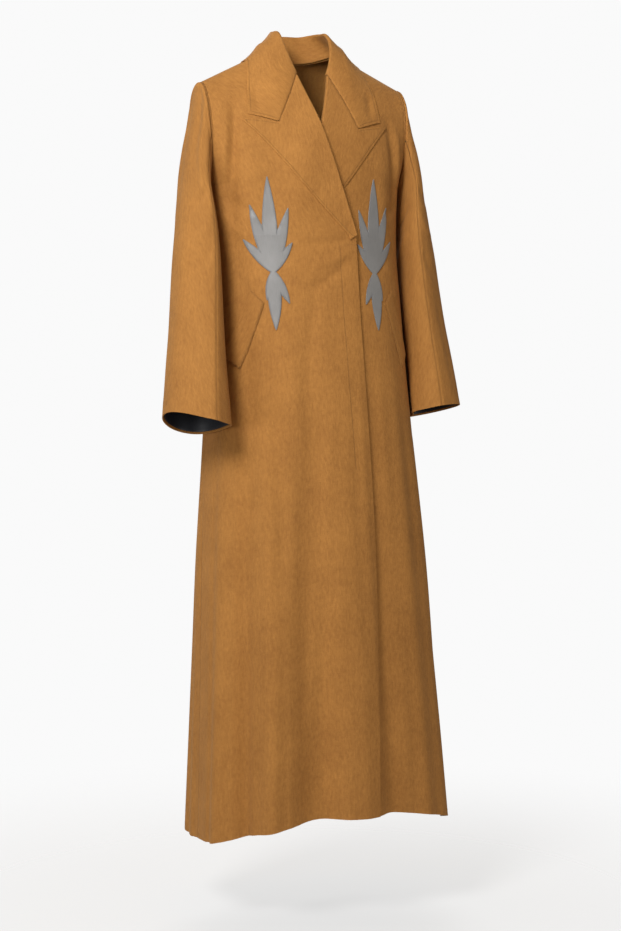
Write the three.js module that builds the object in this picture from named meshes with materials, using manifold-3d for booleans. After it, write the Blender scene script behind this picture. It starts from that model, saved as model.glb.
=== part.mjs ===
// A full-length coat abaya, as worn, with nobody in it: hollow body, notched collar and lapels,
// right front lapped over the left, two-piece sleeves, slanted pocket welts and applied motifs.
// Sizes are in millimetres. +Z is up, the front faces -Y and the wearer's right side is -X.
// The origin lies midway between the two neck points of the shoulder seams.
import * as THREE from "three";
import { mergeVertices } from "three/addons/utils/BufferGeometryUtils.js";
import Module from "manifold-3d";

const { clamp, degToRad, radToDeg, lerp, smoothstep } = THREE.MathUtils;

// Cloth
const CLOTH = 2; // wall of the main cloth
const SATIN = 1; // wall of the sleeve lining and of the applied motifs
const SEAM_GAP = 0.3; // between two pieces that are sewn edge to edge
const LAID_ON = 1; // between a panel and what lies on it, whose facets don't match

// Shoulders, armholes and neck
const SHOULDER_HALF = 195; // from the centre to the shoulder tip
const SHOULDER_DROP = 60; // from the neck point down to the shoulder tip
const NECK_HALF = 72; // from the centre to the neck point
const BACK_NECK_DROP = 14; // from the neck points down to the seam at the centre back
const UNDERARM_LEVEL = -245;
const UNDERARM_HALF = 186;
const ARMHOLE = { front: 51, back: 51 }; // how far the armhole swings forward and back
const CHEST_ROUND = { front: 1.7, back: 2.4 }; // how the chest and the back round over to the seam
const SQUARENESS = 2.3; // of the body's rings: 2 is an ellipse, more is boxier

// Fronts and lapels
const HEM_LEVEL = -1434;
const HEM_RISE = 48; // the hem is this much higher at the front
const HEM_SWAY = 4; // and higher at the wearer's left side than at the right by twice this
const BREAK_LEVEL = -338; // where the lapel starts to turn back
const ROLL_SLOPE = 0.3; // the roll line moves this much sideways for each mm down
const ROLL_START = 45; // its distance from the centre at the level of the neck points
const NECKLINE_FRONT_LEVEL = -54; // the neckline meets the roll line here
const OVERLAP_GAP = 2.4; // between the lapped fronts, whose facets don't match

// Levels of the body below the underarm: half width, depth before and behind the shoulder seam, and
// the sideways swing of the cloth towards the wearer's left.
const BODY = [
  { level: -245, half: 186, front: 115, back: 95, swing: 0 },
  { level: -360, half: 180, front: 126, back: 92, swing: 3 },
  { level: -455, half: 182, front: 144, back: 96, swing: 6 },
  { level: -560, half: 186, front: 159, back: 104, swing: 9 },
  { level: -670, half: 194, front: 170, back: 112, swing: 11 },
  { level: -780, half: 202, front: 179, back: 120, swing: 13 },
  { level: -930, half: 213, front: 187, back: 132, swing: 17 },
  { level: -1090, half: 222, front: 192, back: 144, swing: 22 },
  { level: -1250, half: 232, front: 195, back: 156, swing: 28 },
  { level: -1434, half: 243, front: 197, back: 166, swing: 34 },
];

// How far the front edge lies past the centre front.
const FRONT_EDGE = [
  { level: -338, past: 57 },
  { level: -530, past: 59 },
  { level: -920, past: 74 },
  { level: -1434, past: 74 },
];

// Folds of the skirt. turn is the angle round the body in degrees, 0 at the centre front and
// 90 at the wearer's left; out is the ridge's height at the hem, and a valley's is negative.
const FOLDS = [
  { turn: -39, halfWidth: 14, out: 30, starts: -420 },
  { turn: -58, halfWidth: 12, out: -24, starts: -560 },
  { turn: -18, halfWidth: 15, out: -18, starts: -640 },
  { turn: 37, halfWidth: 13, out: -22, starts: -660 },
  { turn: 57, halfWidth: 15, out: 16, starts: -700 },
  { turn: 80, halfWidth: 12, out: -12, starts: -760 },
  { turn: -84, halfWidth: 12, out: 12, starts: -640 },
  { turn: 104, halfWidth: 13, out: 16, starts: -700 },
  { turn: 127, halfWidth: 14, out: -22, starts: -560 },
  { turn: 150, halfWidth: 13, out: 18, starts: -620 },
  { turn: 172, halfWidth: 13, out: -16, starts: -700 },
  { turn: -165, halfWidth: 13, out: 20, starts: -580 },
  { turn: -142, halfWidth: 13, out: -22, starts: -640 },
  { turn: -120, halfWidth: 13, out: 18, starts: -560 },
  { turn: -102, halfWidth: 10, out: -14, starts: -700 },
];

// Rings of a sleeve, from the armhole to the cuff. The outer line runs over the shoulder cap and
// down the arm, the inner one down from the underarm; depth is half the ring from front to back,
// forward is how far the arm has swung to the front, and tilt raises the ring's front edge.
const SLEEVE = [
  { outX: 195, outZ: -60, inX: 186, inZ: -245, depth: 51, forward: 0, tilt: 0 },
  { outX: 199, outZ: -63, inX: 187, inZ: -250, depth: 54, forward: -1, tilt: 0 },
  { outX: 203, outZ: -84, inX: 188, inZ: -257, depth: 58, forward: -2, tilt: 1 },
  { outX: 209, outZ: -122, inX: 188, inZ: -266, depth: 63, forward: -1, tilt: 2 },
  { outX: 219, outZ: -166, inX: 188, inZ: -278, depth: 67, forward: 2, tilt: 4 },
  { outX: 228, outZ: -212, inX: 188, inZ: -296, depth: 70, forward: 8, tilt: 5 },
  { outX: 235, outZ: -262, inX: 188, inZ: -322, depth: 72, forward: 16, tilt: 7 },
  { outX: 244, outZ: -318, inX: 188, inZ: -360, depth: 74, forward: 26, tilt: 8 },
  { outX: 254, outZ: -378, inX: 187, inZ: -408, depth: 75, forward: 37, tilt: 9 },
  { outX: 262, outZ: -440, inX: 186, inZ: -464, depth: 76, forward: 48, tilt: 9 },
  { outX: 270, outZ: -502, inX: 185, inZ: -522, depth: 77, forward: 60, tilt: 10 },
  { outX: 280, outZ: -562, inX: 183, inZ: -579, depth: 78, forward: 73, tilt: 10 },
  { outX: 288, outZ: -612, inX: 181, inZ: -627, depth: 79, forward: 85, tilt: 10 },
  { outX: 294, outZ: -652, inX: 180, inZ: -667, depth: 80, forward: 94, tilt: 10 },
];
const ARM_SWING = { right: 1, left: 0.6 }; // share of forward and tilt that each arm takes
const SLEEVE_CLEARANCE = 6; // from the sleeve to the side of the body
const SLEEVE_SEAMS = { front: 92, back: 262 }; // round the ring in degrees, 0 at the outer line
const SLEEVE_EDGE = 5; // the front seam is pressed to a ridge this high at the cuff
const LINING_INSET = 12; // from the cuff's edge up to the lining
const LINING_DEPTH = 160;

// The collar's half from the centre back (0) to the shoulder seam (1), on the back, and from
// there to the front end (1), on the front. The roll stands off the body by rise, turned
// upwards by up; the edge lies on the cloth.
const COLLAR_BACK = [
  { along: 0, rollX: 0, rollLevel: -14, rise: 50, up: 1.5, edgeX: 0, edgeLevel: -48 },
  { along: 0.3, rollX: 20, rollLevel: -13, rise: 49, up: 1.5, edgeX: 42, edgeLevel: -47 },
  { along: 0.6, rollX: 38, rollLevel: -8, rise: 46, up: 1.5, edgeX: 80, edgeLevel: -38 },
  { along: 0.82, rollX: 47, rollLevel: -3, rise: 41, up: 1.5, edgeX: 101, edgeLevel: -19 },
  { along: 1, rollX: 50, rollLevel: 0, rise: 36, up: 1.5, edgeX: 109, edgeLevel: 0 },
];
const COLLAR_FRONT = [
  { along: 0, rollX: 50, rollLevel: 0, rise: 36, up: 1.5, edgeX: 109, edgeLevel: 0 },
  { along: 0.3, rollX: 49, rollLevel: -11, rise: 27, up: 1.1, edgeX: 118, edgeLevel: -30 },
  { along: 0.6, rollX: 43, rollLevel: -27, rise: 14, up: 0.6, edgeX: 125, edgeLevel: -66 },
  { along: 1, rollX: 31, rollLevel: -46, rise: 3, up: 0, edgeX: 129.5, edgeLevel: -105 },
];
const GORGE_END = { x: 77, level: -133 }; // inner end of the notch, where the gorge seam stops
const NOTCH_SHARE = 0.63; // share of the collar's front end that the gorge seam takes
const LAPEL_TIP = { x: 138, level: -106.5 };
const LEFT_DROP = 8; // as worn, the left notch sits this much lower than the right one
const LAPEL_BULGE = 6; // the lapel's outer edge bows out by this
const LAPEL_FOOT = 9; // the lapel's width where it starts
const COLLAR_FLATNESS = 2.1; // how quickly the collar comes down from its roll
const GORGE_GAP = 2.6; // between the lapel and the collar's front end
const ROLL_HEIGHT = 2.5; // the lapel's roll stands this much off the front

// Pocket welts: the opening edge from top to bottom, and the step across to the sewn edge.
const WELT = {
  top: { x: 134, level: -437 },
  bottom: { x: 172, level: -556 },
  across: { x: -19, level: -23 },
};

// The applied motif: slim leaves that spring from one point. lean is degrees from upright,
// positive towards the side seam.
const MOTIF_ROOT = { x: 98, level: -405 };
const MOTIF_LEAVES = [
  { lean: 2, length: 172, width: 25 },
  { lean: 16, length: 126, width: 20 },
  { lean: -14, length: 118, width: 20 },
  { lean: 37, length: 74, width: 16 },
  { lean: -33, length: 62, width: 15 },
  { lean: 180, length: 104, width: 22 },
  { lean: 166, length: 52, width: 14 },
  { lean: 203, length: 62, width: 15 },
];

// Grid sizes
const SKIRT_ROWS = 19;
const CHEST_ROWS = 10;
const FRONT_COLUMNS = 18;
const BACK_COLUMNS = 28;
const TOP_SLEEVE_COLUMNS = 13;
const UNDER_SLEEVE_COLUMNS = 12;

const UP = new THREE.Vector3(0, 0, 1);
const FRONT = 1;
const BACK = -1;
const RIGHT = -1;
const LEFT = 1;

// Smooth values between the rows of a table, read by one of its columns.
function read(table, column, at) {
  const way = Math.sign(table[1][column] - table[0][column]);
  const last = table.length - 1;
  let i = 0;
  while (i < last - 1 && (at - table[i + 1][column]) * way > 0) i += 1;
  const a = table[i];
  const b = table[i + 1];
  const before = table[Math.max(i - 1, 0)];
  const after = table[Math.min(i + 2, last)];
  const span = b[column] - a[column];
  const t = clamp((at - a[column]) / span, 0, 1);
  const values = {};
  for (const key of Object.keys(a)) {
    const slopeA = ((b[key] - before[key]) / (b[column] - before[column])) * span;
    const slopeB = ((after[key] - a[key]) / (after[column] - a[column])) * span;
    const jump = b[key] - a[key];
    values[key] = a[key] + slopeA * t + (3 * jump - 2 * slopeA - slopeB) * t ** 2
      + (slopeA + slopeB - 2 * jump) * t ** 3;
  }
  return values;
}

function spread(count, ...around) {
  return Array.from({ length: count + 1 }, (_, i) => i / count).concat(around).sort((a, b) => a - b);
}

const signedPower = (value, power) => Math.sign(value) * Math.abs(value) ** power;

// The armholes lie in one leaning plane a side; this is its distance from the centre.
const armholeX = (z) =>
  lerp(UNDERARM_HALF, SHOULDER_HALF, (z - UNDERARM_LEVEL) / (-SHOULDER_DROP - UNDERARM_LEVEL));

// The sleeve stays outside that plane, and below the underarm it may swing in again.
const sleeveLimit = (z) =>
  armholeX(Math.max(z, UNDERARM_LEVEL)) + SEAM_GAP / 2 - 3 * Math.max(UNDERARM_LEVEL - z, 0);

// Above the underarm, the share of the way up to the shoulder seam.
const chestShare = (level) => clamp((level - UNDERARM_LEVEL) / -UNDERARM_LEVEL, 0, 1);

// Where a sideways distance lies round the body, in degrees: 0 at the centre, 90 at the side.
function turnAt(x, level) {
  const ring = read(BODY, "level", Math.min(level, UNDERARM_LEVEL));
  const half = level > UNDERARM_LEVEL ? lerp(UNDERARM_HALF, SHOULDER_HALF, chestShare(level)) : ring.half;
  const across = clamp((x - ring.swing) / half, -1, 1);
  return radToDeg(Math.asin(signedPower(across, SQUARENESS / 2)));
}

// A point of the body's smooth form on its front or back face. turn runs from -90 at the wearer's
// right side to 90 at the left. Above the underarm the rings tilt up to the sloping shoulders.
function form(face, turn, level) {
  const s = Math.sin(degToRad(turn));
  const c = Math.abs(Math.cos(degToRad(turn)));
  const side = face === FRONT ? "front" : "back";
  const ring = read(BODY, "level", Math.min(level, UNDERARM_LEVEL));
  const across = signedPower(s, 2 / SQUARENESS);
  if (level <= UNDERARM_LEVEL) {
    const depth = ring[side] * c ** (2 / SQUARENESS);
    return new THREE.Vector3(ring.swing + ring.half * across, -face * depth, level);
  }
  const share = chestShare(level);
  const x = lerp(UNDERARM_HALF, SHOULDER_HALF, share) * across;
  const slope = Math.max(Math.abs(x) - NECK_HALF, 0) / (SHOULDER_HALF - NECK_HALF);
  const seamZ = -SHOULDER_DROP * slope;
  const round = CHEST_ROUND[side];
  const centre = ring[side] * Math.max(1 - share ** round, 0) ** (1 / round);
  const armhole = ARMHOLE[side] * 2 * Math.sqrt(share * (1 - share));
  const depth = Math.hypot(centre * c ** (2 / SQUARENESS), armhole * (1 - c ** 2));
  return new THREE.Vector3(x, -face * depth, lerp(UNDERARM_LEVEL, seamZ, share));
}

// The way out of the cloth at a point of the form.
function outward(face, turn, level) {
  const onSide = Math.abs(turn) > 89.9 && level <= UNDERARM_LEVEL;
  const step = (a, b) => form(face, clamp(turn + a, -90, 90), Math.min(level + b, 0));
  const round = step(0.5, 0).sub(step(-0.5, 0));
  const rise = step(0, 1).sub(step(0, -1));
  const out = round.cross(rise).multiplyScalar(face).normalize();
  if (onSide || level > -0.5) out.setY(0).normalize();
  return out;
}

// How far the skirt's folds move the cloth out. around is the angle right round the body.
function drape(around, level) {
  let out = 0;
  for (const fold of FOLDS) {
    const away = Math.abs(((around - fold.turn + 540) % 360) - 180) / fold.halfWidth;
    const fall = Math.max((fold.starts - level) / (fold.starts - HEM_LEVEL), 0) ** 1.4;
    if (away < 1) out += fold.out * Math.cos((away * Math.PI) / 2) ** 1.5 * fall;
  }
  return out;
}

const rollX = (level) => -ROLL_SLOPE * level - ROLL_START;

// The inner edge of a front, as a distance past the centre: front edge, roll line, neckline.
function frontEdge(level) {
  if (level < BREAK_LEVEL) return read(FRONT_EDGE, "level", level).past;
  if (level < NECKLINE_FRONT_LEVEL) return rollX(level);
  const share = level / NECKLINE_FRONT_LEVEL;
  return lerp(-NECK_HALF, rollX(NECKLINE_FRONT_LEVEL), share ** 0.8);
}

// The right front rides over the left one, and higher where the left lapel lies between them.
function lap(side, x, level) {
  if (side !== RIGHT) return 0;
  const reach = level < BREAK_LEVEL ? read(FRONT_EDGE, "level", level).past : Math.max(rollX(level), -20);
  const overLapel = smoothstep(level, BREAK_LEVEL - 140, BREAK_LEVEL - 10);
  const height = CLOTH + OVERLAP_GAP + overLapel * (CLOTH + 2 * LAID_ON);
  return height * smoothstep(x, -reach - 80, -reach - 6) * smoothstep(-level, 60, 150);
}

// A point of the cloth and the way out of it, for a panel on the wearer's right or left side.
function cloth(face, side, turn, level) {
  const base = form(face, turn, level);
  const out = outward(face, turn, level);
  const around = face === FRONT ? turn : Math.sign(turn || 1) * 180 - turn;
  const lift = drape(around, level) + (face === FRONT ? lap(side, base.x, level) : 0);
  return { point: base.addScaledVector(out, lift), out };
}

// The same, placed by its sideways distance from the centre on one side of the front.
function frontCloth(side, x, level) {
  return cloth(FRONT, side, turnAt(side * x, level), level);
}

// A closed wall from a grid of { point, out }: low and high are its faces' heights above it.
function wall(rows, columns, at, low, high, { snap, ring } = {}) {
  const across = columns.length;
  const positions = [];
  for (const height of [high, low]) {
    for (const row of rows) {
      for (const column of columns) {
        const { point, out } = at(row, column);
        const vertex = point.clone().addScaledVector(out, height);
        if (snap) snap(vertex, row, column);
        positions.push(vertex.x, vertex.y, vertex.z);
      }
    }
  }
  const layer = rows.length * across;
  const faces = [];
  const quad = (a, b, c, d) => faces.push(a, b, c, a, c, d);
  const last = ring ? across : across - 1;
  for (let i = 0; i < rows.length - 1; i += 1) {
    for (let j = 0; j < last; j += 1) {
      const next = (j + 1) % across;
      const [a, b, c, d] = [i * across + j, i * across + next, (i + 1) * across + next, (i + 1) * across + j];
      quad(a, b, c, d);
      quad(layer + d, layer + c, layer + b, layer + a);
    }
  }
  const rim = (a, b) => quad(b, a, layer + a, layer + b);
  for (let j = 0; j < last; j += 1) {
    const next = (j + 1) % across;
    rim(j, next);
    rim((rows.length - 1) * across + next, (rows.length - 1) * across + j);
  }
  if (!ring) {
    for (let i = 0; i < rows.length - 1; i += 1) {
      rim((i + 1) * across, i * across);
      rim(i * across + across - 1, (i + 1) * across + across - 1);
    }
  }
  return facingOut(positions, faces);
}

function facingOut(positions, faces) {
  let volume = 0;
  const corner = (i) => new THREE.Vector3().fromArray(positions, faces[i] * 3);
  for (let i = 0; i < faces.length; i += 3) {
    volume += corner(i).dot(corner(i + 1).cross(corner(i + 2)));
  }
  if (volume < 0) {
    for (let i = 0; i < faces.length; i += 3) [faces[i], faces[i + 1]] = [faces[i + 1], faces[i]];
  }
  const geometry = new THREE.BufferGeometry();
  geometry.setAttribute("position", new THREE.Float32BufferAttribute(positions, 3));
  geometry.setIndex(faces);
  return geometry;
}

// Rows of a panel: shares of the skirt below the underarm, then 1 + shares of the chest.
function panelRows() {
  const skirt = spread(SKIRT_ROWS).map((share) => share ** 0.93);
  const chest = spread(CHEST_ROWS).slice(1).map((share) => 1 + (1 - Math.cos(Math.PI * share)) / 2);
  return [...skirt, ...chest];
}

const hemLevel = (around) => HEM_LEVEL + HEM_SWAY * Math.sin(degToRad(around))
  - 0.3 * drape(around, HEM_LEVEL)
  + HEM_RISE * (1 - smoothstep(Math.abs(around - 2), 8, 85));

function levelOf(row, around) {
  if (row <= 1) return lerp(hemLevel(around), UNDERARM_LEVEL, row);
  return lerp(UNDERARM_LEVEL, 0, row - 1);
}

// Keeps a body panel on its own side of the shoulder and side seams and of the armhole plane.
function trimmed(face) {
  return (vertex) => {
    vertex.y = -face * Math.max(-face * vertex.y, SEAM_GAP / 2);
    if (vertex.z <= UNDERARM_LEVEL) return;
    const limit = armholeX(vertex.z) - SEAM_GAP / 2;
    vertex.x = clamp(vertex.x, -limit, limit);
  };
}

// The armhole's edge of both faces of the wall lies in the armhole plane.
function toArmhole(face) {
  const trim = trimmed(face);
  return (vertex, row, column) => {
    trim(vertex);
    if (row > 1 && Math.abs(column) === 1) {
      vertex.x = Math.sign(vertex.x) * (armholeX(vertex.z) - SEAM_GAP / 2);
    }
  };
}

function frontPanel(side) {
  const at = (row, column) => {
    const level = levelOf(row, 0);
    const edge = turnAt(-side * frontEdge(level), level);
    const turn = lerp(edge, side * 90, column);
    const ownLevel = levelOf(row, turn);
    return cloth(FRONT, side, turn, ownLevel);
  };
  return wall(panelRows(), spread(FRONT_COLUMNS), at, -CLOTH, 0, { snap: toArmhole(FRONT) });
}

function backPanel() {
  const at = (row, column) => {
    const turn = column * 90;
    const around = Math.sign(turn || 1) * 180 - turn;
    if (row <= 1) return cloth(BACK, LEFT, turn, levelOf(row, around));
    const neckX = SHOULDER_HALF * signedPower(Math.sin(degToRad(turn)), 2 / SQUARENESS);
    const drop = BACK_NECK_DROP * Math.max(1 - (neckX / NECK_HALF) ** 2, 0);
    return cloth(BACK, LEFT, turn, lerp(UNDERARM_LEVEL, -drop, row - 1));
  };
  const columns = spread(BACK_COLUMNS).map((share) => share * 2 - 1);
  return wall(panelRows(), columns, at, -CLOTH, 0, { snap: toArmhole(BACK) });
}

// The lapel lies on the front between the roll line and its outer edge.
function lapel(side) {
  const rollTop = COLLAR_FRONT.at(-1);
  const foot = { x: rollX(BREAK_LEVEL) - LAPEL_FOOT, level: BREAK_LEVEL - 6 };
  const topShare = 0.6;
  const drop = side === LEFT ? LEFT_DROP : 0;
  const at = (row, column) => {
    const toGorge = Math.min(column / topShare, 1);
    const toTip = Math.max((column - topShare) / (1 - topShare), 0);
    const topX = lerp(lerp(-rollTop.rollX, -GORGE_END.x, toGorge), -LAPEL_TIP.x, toTip);
    const topLevel = lerp(lerp(rollTop.rollLevel, GORGE_END.level, toGorge), LAPEL_TIP.level, toTip)
      - drop * toGorge - GORGE_GAP;
    const bow = LAPEL_BULGE * Math.sin(Math.PI * row) * column ** 2;
    const x = lerp(lerp(rollX(BREAK_LEVEL), foot.x, column), topX, row) - bow;
    const level = lerp(lerp(BREAK_LEVEL, foot.level, column), topLevel, row) - bow * 0.7;
    const placed = frontCloth(side, -x, level);
    const free = side === LEFT ? smoothstep(level, -240, -150) : 1;
    placed.point.addScaledVector(placed.out, ROLL_HEIGHT * free * (1 - column) ** 3);
    return placed;
  };
  const columns = [0, 0.12, 0.26, 0.43, topShare, 0.8, 1];
  return wall(spread(16), columns, at, LAID_ON, LAID_ON + CLOTH);
}

// A point of the collar's outer fold: along runs from -2 at the right front end over 0 at the
// centre back to 2 at the left, share from the roll (0) to the outer edge (1).
function collarPoint(along, share) {
  const side = along < 0 ? RIGHT : LEFT;
  const onBack = Math.abs(along) < 1;
  const at = onBack ? Math.abs(along) : Math.abs(along) - 1;
  const row = read(onBack ? COLLAR_BACK : COLLAR_FRONT, "along", at);
  const face = onBack ? BACK : FRONT;
  const toCorner = onBack ? 0 : smoothstep(at, 0.55, 1);
  const peak = share < NOTCH_SHARE ? share / NOTCH_SHARE : (1 - share) / (1 - NOTCH_SHARE);
  const straightX = lerp(row.rollX, row.edgeX, NOTCH_SHARE);
  const straightLevel = lerp(row.rollLevel, row.edgeLevel, NOTCH_SHARE);
  const x = lerp(row.rollX, row.edgeX, share) + toCorner * peak * (GORGE_END.x - straightX);
  const level = lerp(row.rollLevel, row.edgeLevel, share)
    + toCorner * peak * (GORGE_END.level - straightLevel)
    - (side === LEFT ? LEFT_DROP : 0) * toCorner * Math.min(share / NOTCH_SHARE, 1);
  const ownLevel = Math.min(level, 0);
  const placed = cloth(face, side, turnAt(side * x, ownLevel), ownLevel);
  const lean = placed.out.clone().addScaledVector(UP, row.up).normalize();
  const rise = row.rise * (1 - share) ** COLLAR_FLATNESS;
  const clear = LAID_ON + 2 * (1 - toCorner);
  return placed.point.addScaledVector(placed.out, clear).addScaledVector(lean, rise);
}

function collarFall() {
  const shares = [0, 0.16, 0.32, 0.48, NOTCH_SHARE, 0.82, 1];
  const at = (along, share) => {
    const step = 0.02;
    const low = Math.max(share - step, 0);
    const high = Math.min(share + step, 1);
    const across = collarPoint(along, high).sub(collarPoint(along, low));
    const on = collarPoint(Math.min(along + step, 2), share)
      .sub(collarPoint(Math.max(along - step, -2), share));
    return { point: collarPoint(along, share), out: on.cross(across).normalize() };
  };
  const half = [0, 0.2, 0.4, 0.6, 0.75, 0.88, 1, 1.12, 1.28, 1.45, 1.63, 1.82, 2];
  const alongs = [...half.slice(1).reverse().map((a) => -a), ...half];
  return wall(alongs, shares, at, 0, CLOTH);
}

// The stand rises inside the fall from the neck seam to just below the roll.
function collarStand() {
  const reach = 1.55;
  const at = (along, share) => {
    const side = along < 0 ? RIGHT : LEFT;
    const onBack = Math.abs(along) < 1;
    const at = onBack ? Math.abs(along) : Math.abs(along) - 1;
    const roll = collarPoint(along, 0);
    const inwards = new THREE.Vector3(-roll.x, -roll.y, 0).normalize();
    const neckX = onBack ? NECK_HALF * Math.sin((at * Math.PI) / 2) : NECK_HALF - 34 * at;
    const neckLevel = onBack
      ? -BACK_NECK_DROP * Math.max(1 - (neckX / NECK_HALF) ** 2, 0)
      : NECKLINE_FRONT_LEVEL * ((NECK_HALF - neckX) / (NECK_HALF + rollX(NECKLINE_FRONT_LEVEL))) ** 1.25;
    const face = onBack ? BACK : FRONT;
    const foot = form(face, turnAt(side * neckX, neckLevel), neckLevel).addScaledVector(inwards, CLOTH);
    const top = roll.addScaledVector(inwards, CLOTH + SEAM_GAP).addScaledVector(UP, -2);
    return { point: foot.lerp(top, share), out: inwards.negate() };
  };
  const half = [0, 0.2, 0.4, 0.6, 0.8, 1, 1.15, 1.3, 1.42, reach];
  const alongs = [...half.slice(1).reverse().map((a) => -a), ...half];
  return wall(alongs, spread(4), at, -CLOTH, 0);
}

// The side of the body at a sleeve's point, so that the sleeve hangs just clear of it.
function bodySide(side, y, z) {
  const ring = read(BODY, "level", Math.min(z, UNDERARM_LEVEL));
  const depth = y < 0 ? ring.front : ring.back;
  const across = Math.max(1 - (Math.abs(y) / depth) ** SQUARENESS, 0) ** (1 / SQUARENESS);
  return side * ring.swing + ring.half * across;
}

// A point of a sleeve: along runs from 0 at the armhole to 1 at the cuff, around is degrees round
// the ring from the outer line, over the front (90), to the inner line (180).
function sleevePoint(side, along, around) {
  const rings = SLEEVE.map((row, i) => ({ ...row, along: i / (SLEEVE.length - 1) }));
  const ring = read(rings, "along", along);
  const share = side === RIGHT ? ARM_SWING.right : ARM_SWING.left;
  const tilt = degToRad(ring.tilt * share);
  const c = signedPower(Math.cos(degToRad(around)), 0.94);
  const s = signedPower(Math.sin(degToRad(around)), 0.94);
  const pressed = SLEEVE_EDGE * along ** 2 * Math.exp(-(((around - SLEEVE_SEAMS.front) / 13) ** 2));
  const depth = (ring.depth + pressed) * s;
  const x = (ring.outX + ring.inX) / 2 + ((ring.outX - ring.inX) / 2) * c;
  const y = -ring.forward * share - depth * Math.cos(tilt);
  const z = (ring.outZ + ring.inZ) / 2 + ((ring.outZ - ring.inZ) / 2) * c + depth * Math.sin(tilt);
  const clear = bodySide(side, y, z) + SLEEVE_CLEARANCE * smoothstep(along, 0, 0.15);
  return new THREE.Vector3(side * Math.max(x, clear, sleeveLimit(z)), y, z);
}

function sleeveCloth(side, along, around) {
  const step = 0.004;
  const back = sleevePoint(side, Math.max(along - step, 0), around);
  const down = sleevePoint(side, Math.min(along + step, 1), around).sub(back);
  const round = sleevePoint(side, along, around + 1).sub(sleevePoint(side, along, around - 1));
  const inPlane = new THREE.Vector3(0, round.z, -round.y).normalize();
  const out = down.cross(round).multiplyScalar(-side).normalize();
  out.lerp(inPlane, 1 - smoothstep(along, 0, 0.12)).normalize();
  return { point: sleevePoint(side, along, around), out };
}

const SLEEVE_ALONGS = [0, 0.05, ...spread(15).slice(2)];

// Keeps the sleeve's first ring in the armhole plane and the rest of it outside that plane.
function sleeveSnap(vertex, along) {
  const plane = sleeveLimit(vertex.z);
  const x = Math.abs(vertex.x);
  vertex.x = Math.sign(vertex.x) * (along === 0 ? plane : Math.max(x, plane));
}

function sleeve(side, from, to, columns) {
  const at = (along, share) => {
    const inset = lerp(0.9, radToDeg(SEAM_GAP / 60), smoothstep(along, 0.1, 0.5));
    return sleeveCloth(side, along, lerp(from + inset, to - inset, share));
  };
  return wall(SLEEVE_ALONGS, spread(columns), at, -CLOTH, 0, { snap: sleeveSnap });
}

// The lining shows inside the cuff, a little up from its edge.
function sleeveLining(side) {
  const length = 600;
  const at = (along, around) => sleeveCloth(side, along, around);
  const rows = spread(4).map((share) => 1 - (LINING_INSET + LINING_DEPTH * share) / length);
  const { front, back } = SLEEVE_SEAMS;
  const columns = [
    ...spread(TOP_SLEEVE_COLUMNS).map((share) => lerp(back - 360, front, share)),
    ...spread(UNDER_SLEEVE_COLUMNS).slice(1, -1).map((share) => lerp(front, back, share)),
  ];
  const height = -CLOTH - 1.25 * LAID_ON;
  return wall(rows, columns, at, height - SATIN, height, { ring: true });
}

function pocketWelt(side) {
  const at = (row, column) => {
    const x = lerp(WELT.top.x, WELT.bottom.x, row) + WELT.across.x * column;
    const level = lerp(WELT.top.level, WELT.bottom.level, row) + WELT.across.level * column;
    return frontCloth(side, x, level);
  };
  return wall(spread(12), spread(3), at, LAID_ON, LAID_ON + CLOTH);
}

// One leaf of the motif, as a narrow pointed wall that follows the front.
function motifLeaf(side, { lean, length, width }) {
  const along = new THREE.Vector2(Math.sin(degToRad(lean)), Math.cos(degToRad(lean)));
  const across = new THREE.Vector2(along.y, -along.x);
  const at = (row, column) => {
    const share = Math.max(row, 0);
    const least = lerp(6, 1.2, share);
    const halfWidth = (least + (width - least) * Math.max(Math.sin(Math.PI * share ** 0.8), 0) ** 0.9) / 2;
    const x = MOTIF_ROOT.x + along.x * length * row + across.x * halfWidth * column;
    const level = MOTIF_ROOT.level + along.y * length * row + across.y * halfWidth * column;
    return frontCloth(side, x, level);
  };
  const rows = spread(Math.max(4, Math.round(length / 26))).map((share) => share * 1.06 - 0.06);
  return wall(rows, [-1, 0, 1], at, LAID_ON, LAID_ON + SATIN);
}

const wasm = await Module();
wasm.setup();

function solid(geometry) {
  const bare = mergeVertices(geometry, 1e-3);
  return new wasm.Manifold(
    new wasm.Mesh({
      numProp: 3,
      vertProperties: new Float32Array(bare.attributes.position.array),
      triVerts: new Uint32Array(bare.index.array),
    }),
  );
}

function motif(side) {
  const whole = MOTIF_LEAVES.map((leaf) => solid(motifLeaf(side, leaf))).reduce((a, b) => a.add(b));
  const mesh = whole.getMesh();
  const geometry = new THREE.BufferGeometry();
  geometry.setAttribute("position", new THREE.BufferAttribute(mesh.vertProperties, 3));
  geometry.setIndex(new THREE.BufferAttribute(mesh.triVerts, 1));
  return geometry;
}

const linen = new THREE.MeshStandardMaterial({ name: "camel linen", color: 0xb98244, roughness: 0.85 });
const satin = new THREE.MeshStandardMaterial({ name: "grey satin", color: 0x97979a, roughness: 0.5 });
const lining = new THREE.MeshStandardMaterial({ name: "dark lining", color: 0x1c1f22, roughness: 0.6 });

const abaya = new THREE.Group();
const add = (name, geometry, material) => {
  const mesh = new THREE.Mesh(geometry, material);
  mesh.name = name;
  abaya.add(mesh);
};

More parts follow.
